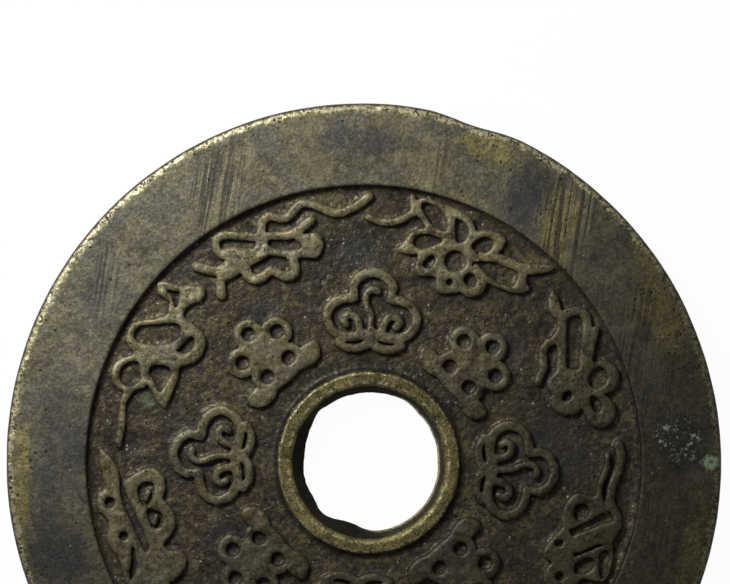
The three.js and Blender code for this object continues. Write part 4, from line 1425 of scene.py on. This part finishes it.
# Pale specks, partly painted glints.
colour = with_specks_and_glints(tree, place, colour, paint(150, 150, 138), size=0.18, share=0.035, strength=0.6)
dusting = {"Place": place, "Color": colour, "Pale": paint(136, 138, 132), "Cover": marks["dusty"]}
colour = use(tree, dust, dusting)["Color"]
colour = with_blooms(tree, place, colour, FIELD, FIELD_BLOOMS, paint(84, 96, 72))
roughness = scaled(tree, worn["Grime cover"], 0.3, between(tree, skin["Mottle"], 0.0, 1.0, 0.62, 0.42))
height = scaled(tree, skin["Mottle"], 0.05, pitted["Height"])
end_finish(tree, colour, roughness, height, metallic=0.4, specular=0.35, bump=0.9)
print("dark_field has", len(tree.nodes), "nodes")

# %% [markdown]
# ### The collar's finish
# The collar's face is handled to a yellow brown, and the inside of its hole is caked nearly black,
# with painted shade making it darker still on the side turned from the lamp. Two materials would
# meet in a hard line, so there is one. Where the stored dirt and painted shade are strong, a
# near-black is blended over the skin, and the worn edges show bare brass, with a painted highlight
# along the neck on the lamp's side.

# %% The collar: handled, with a caked hole
COLLAR_BLOOM = [(8.3, 4.9, 0.4)]

tree, place, marks = new_finish("handled_collar", "tone", "dirt_and_shade", "edge")
skin = use(
    tree,
    mottled_patina,
    {
        "Place": place,
        "Dark": paint(46, 41, 23),
        "Middle": paint(94, 86, 53),
        "Light": paint(128, 118, 76),
        "Cool": paint(76, 74, 48),
        "Cool share": 0.4,
        "Warm": paint(104, 88, 50),
        "Warm share": 0.4,
        "Speckle size": 0.22,
    },
)
pitted = use(tree, casting_pits, {"Place": place, "Size": 0.2, "Share": 0.18})
worn = use(
    tree,
    wear_dirt_and_shade,
    {
        "Place": place,
        "Color": skin["Color"],
        "Bare": paint(160, 152, 112),
        "Grime": paint(14, 12, 8),
        "Edge": marks["edge"],
        "Dirt and shade": marks["dirt_and_shade"],
        "Tone": marks["tone"],
        "Darkest": 0.8,
    },
)
# Near-black for caked dirt and the hole's painted shade.
caked_and_shaded = blend(tree, between(tree, marks["dirt_and_shade"], 0.4, 1.0, 0.0, 0.75), worn["Color"], paint(9, 9, 6))
colour = blend(tree, times(tree, pitted["Pits"], 0.7), caked_and_shaded, paint(24, 20, 11))
colour = with_blooms(tree, place, colour, FIELD, COLLAR_BLOOM, paint(70, 88, 40))
roughness = scaled(tree, worn["Grime cover"], 0.45, between(tree, worn["Bareness"], 0.0, 1.0, 0.5, 0.38))
height = scaled(tree, skin["Mottle"], 0.035, pitted["Height"])
end_finish(tree, colour, roughness, height, metallic=0.5, specular=0.3, bump=0.8)
print("handled_collar has", len(tree.nodes), "nodes")

# %% [markdown]
# ### The figures' finish
# The figures stand up to the fingers, so their tops are rubbed light and only their feet stay dark.
# The stored rise, from 0 at the field to 1 at a stroke's top, blends the two, so the dark follows
# every outline by itself and nothing has to be painted.

# %% The figures: rubbed on top, dark at the foot
tree, place, marks = new_finish("worn_relief", "tone", "rise")
skin = use(
    tree,
    mottled_patina,
    {
        "Place": place,
        "Dark": paint(56, 50, 35),
        "Middle": paint(102, 95, 70),
        "Light": paint(126, 120, 94),
        "Cool": paint(94, 93, 84),
        "Cool share": 0.4,
        "Warm": paint(106, 96, 62),
        "Warm share": 0.4,
        "Speckle size": 0.34,
    },
)
foot = blend(tree, between(tree, marks["rise"], 0.05, 0.7), paint(24, 20, 13), skin["Color"])
pitted = use(tree, casting_pits, {"Place": place, "Size": 0.19, "Share": 0.2})
worn = use(tree, wear_dirt_and_shade, {"Place": place, "Color": foot, "Tone": marks["tone"], "Darkest": 0.3})
colour = blend(tree, times(tree, pitted["Pits"], 0.7), worn["Color"], paint(30, 26, 17))
roughness = between(tree, marks["rise"], 0.2, 0.8, 0.8, 0.5)
height = scaled(tree, skin["Mottle"], 0.035, pitted["Height"])
end_finish(tree, colour, roughness, height, metallic=0.4, specular=0.25, bump=0.8)
print("worn_relief has", len(tree.nodes), "nodes")

# %% Put the finishes on
for piece, slot in made:
    piece.data.materials.append(finishes[slot])
print("finishes are on", len(made), "pieces")

# %% [markdown]
# ## The floor
# The coin lies on a pale floor. Lighting a floor until it is white would burn the coin out. Instead,
# to the camera and in reflections, the floor glows just white, so the background stays white while
# a trace of the coin's shadow remains.

# %% The floor
FLOOR_HALF = 3.0
FLOOR_PALENESS = 0.9
GLOW_SHARE = 0.97

floor_mesh = bpy.data.meshes.new("floor")
floor_corners = [(-1, -1), (1, -1), (1, 1), (-1, 1)]
floor_mesh.from_pydata([(x * FLOOR_HALF, y * FLOOR_HALF, 0) for x, y in floor_corners], [], [(0, 1, 2, 3)])
floor = bpy.data.objects.new("floor", floor_mesh)
bpy.context.scene.collection.objects.link(floor)
floor_finish = bpy.data.materials.new("pale_floor")
floor_finish.use_nodes = True
tree = floor_finish.node_tree
tree.nodes.remove(tree.nodes["Principled BSDF"])
rays = put(tree, "LightPath", {}).outputs
seen = calculate(tree, "MAXIMUM", rays["Is Camera Ray"], rays["Is Glossy Ray"])
seen = calculate(tree, "MAXIMUM", seen, rays["Is Transmission Ray"])
lit = put(tree, "BsdfDiffuse", {"Color": (FLOOR_PALENESS,) * 3 + (1,)}).outputs[0]
glow = put(tree, "Emission", {"Color": (1, 1, 1, 1), "Strength": 1.0}).outputs[0]
mixed = put(tree, "MixShader", {0: times(tree, seen, GLOW_SHARE), 1: lit, 2: glow}).outputs[0]
fill(tree, tree.nodes["Material Output"], {"Surface": mixed})
floor_mesh.materials.append(floor_finish)
print("the floor is", 2 * FLOOR_HALF, "m wide")

# %% [markdown]
# ## The light
# One small soft lamp stands close by at the upper left, as it does in coin photography. It is nearer
# to that side, which makes the light fall off across the coin. Its level is how bright it makes a
# flat white surface in the coin's place. The power for that is the level times pi^2 times the square
# of the distance, divided by the sine of the angle at which the lamp stands above the floor. A dim
# even world fills the shadows.

# %% The lamp and the world
LAMP_AZIMUTH = np.radians(-38)
LAMP_HEIGHT = np.radians(44)
LAMP_DISTANCE = 0.12
LAMP_SIZE = 0.03
LAMP_LEVEL = 0.78
WORLD_LEVEL = 0.25

towards_lamp = Vector(
    (
        np.cos(LAMP_HEIGHT) * np.sin(LAMP_AZIMUTH),
        np.cos(LAMP_HEIGHT) * np.cos(LAMP_AZIMUTH),
        np.sin(LAMP_HEIGHT),
    )
)
lamp_data = bpy.data.lights.new("softbox", "AREA")
lamp_data.size = LAMP_SIZE
lamp_data.energy = LAMP_LEVEL * np.pi**2 * LAMP_DISTANCE**2 / np.sin(LAMP_HEIGHT)
lamp = bpy.data.objects.new("softbox", lamp_data)
lamp.location = towards_lamp * LAMP_DISTANCE
lamp.rotation_euler = (-towards_lamp).to_track_quat("-Z", "Y").to_euler()
lamp.visible_camera = False
bpy.context.scene.collection.objects.link(lamp)

world = bpy.data.worlds.new("studio")
world.use_nodes = True
world.node_tree.nodes["Background"].inputs["Color"].default_value = (1, 1, 1, 1)
world.node_tree.nodes["Background"].inputs["Strength"].default_value = WORLD_LEVEL
bpy.context.scene.world = world
bpy.context.scene.view_settings.view_transform = "Standard"
print(f"the lamp gives {lamp_data.energy:.3f} W")
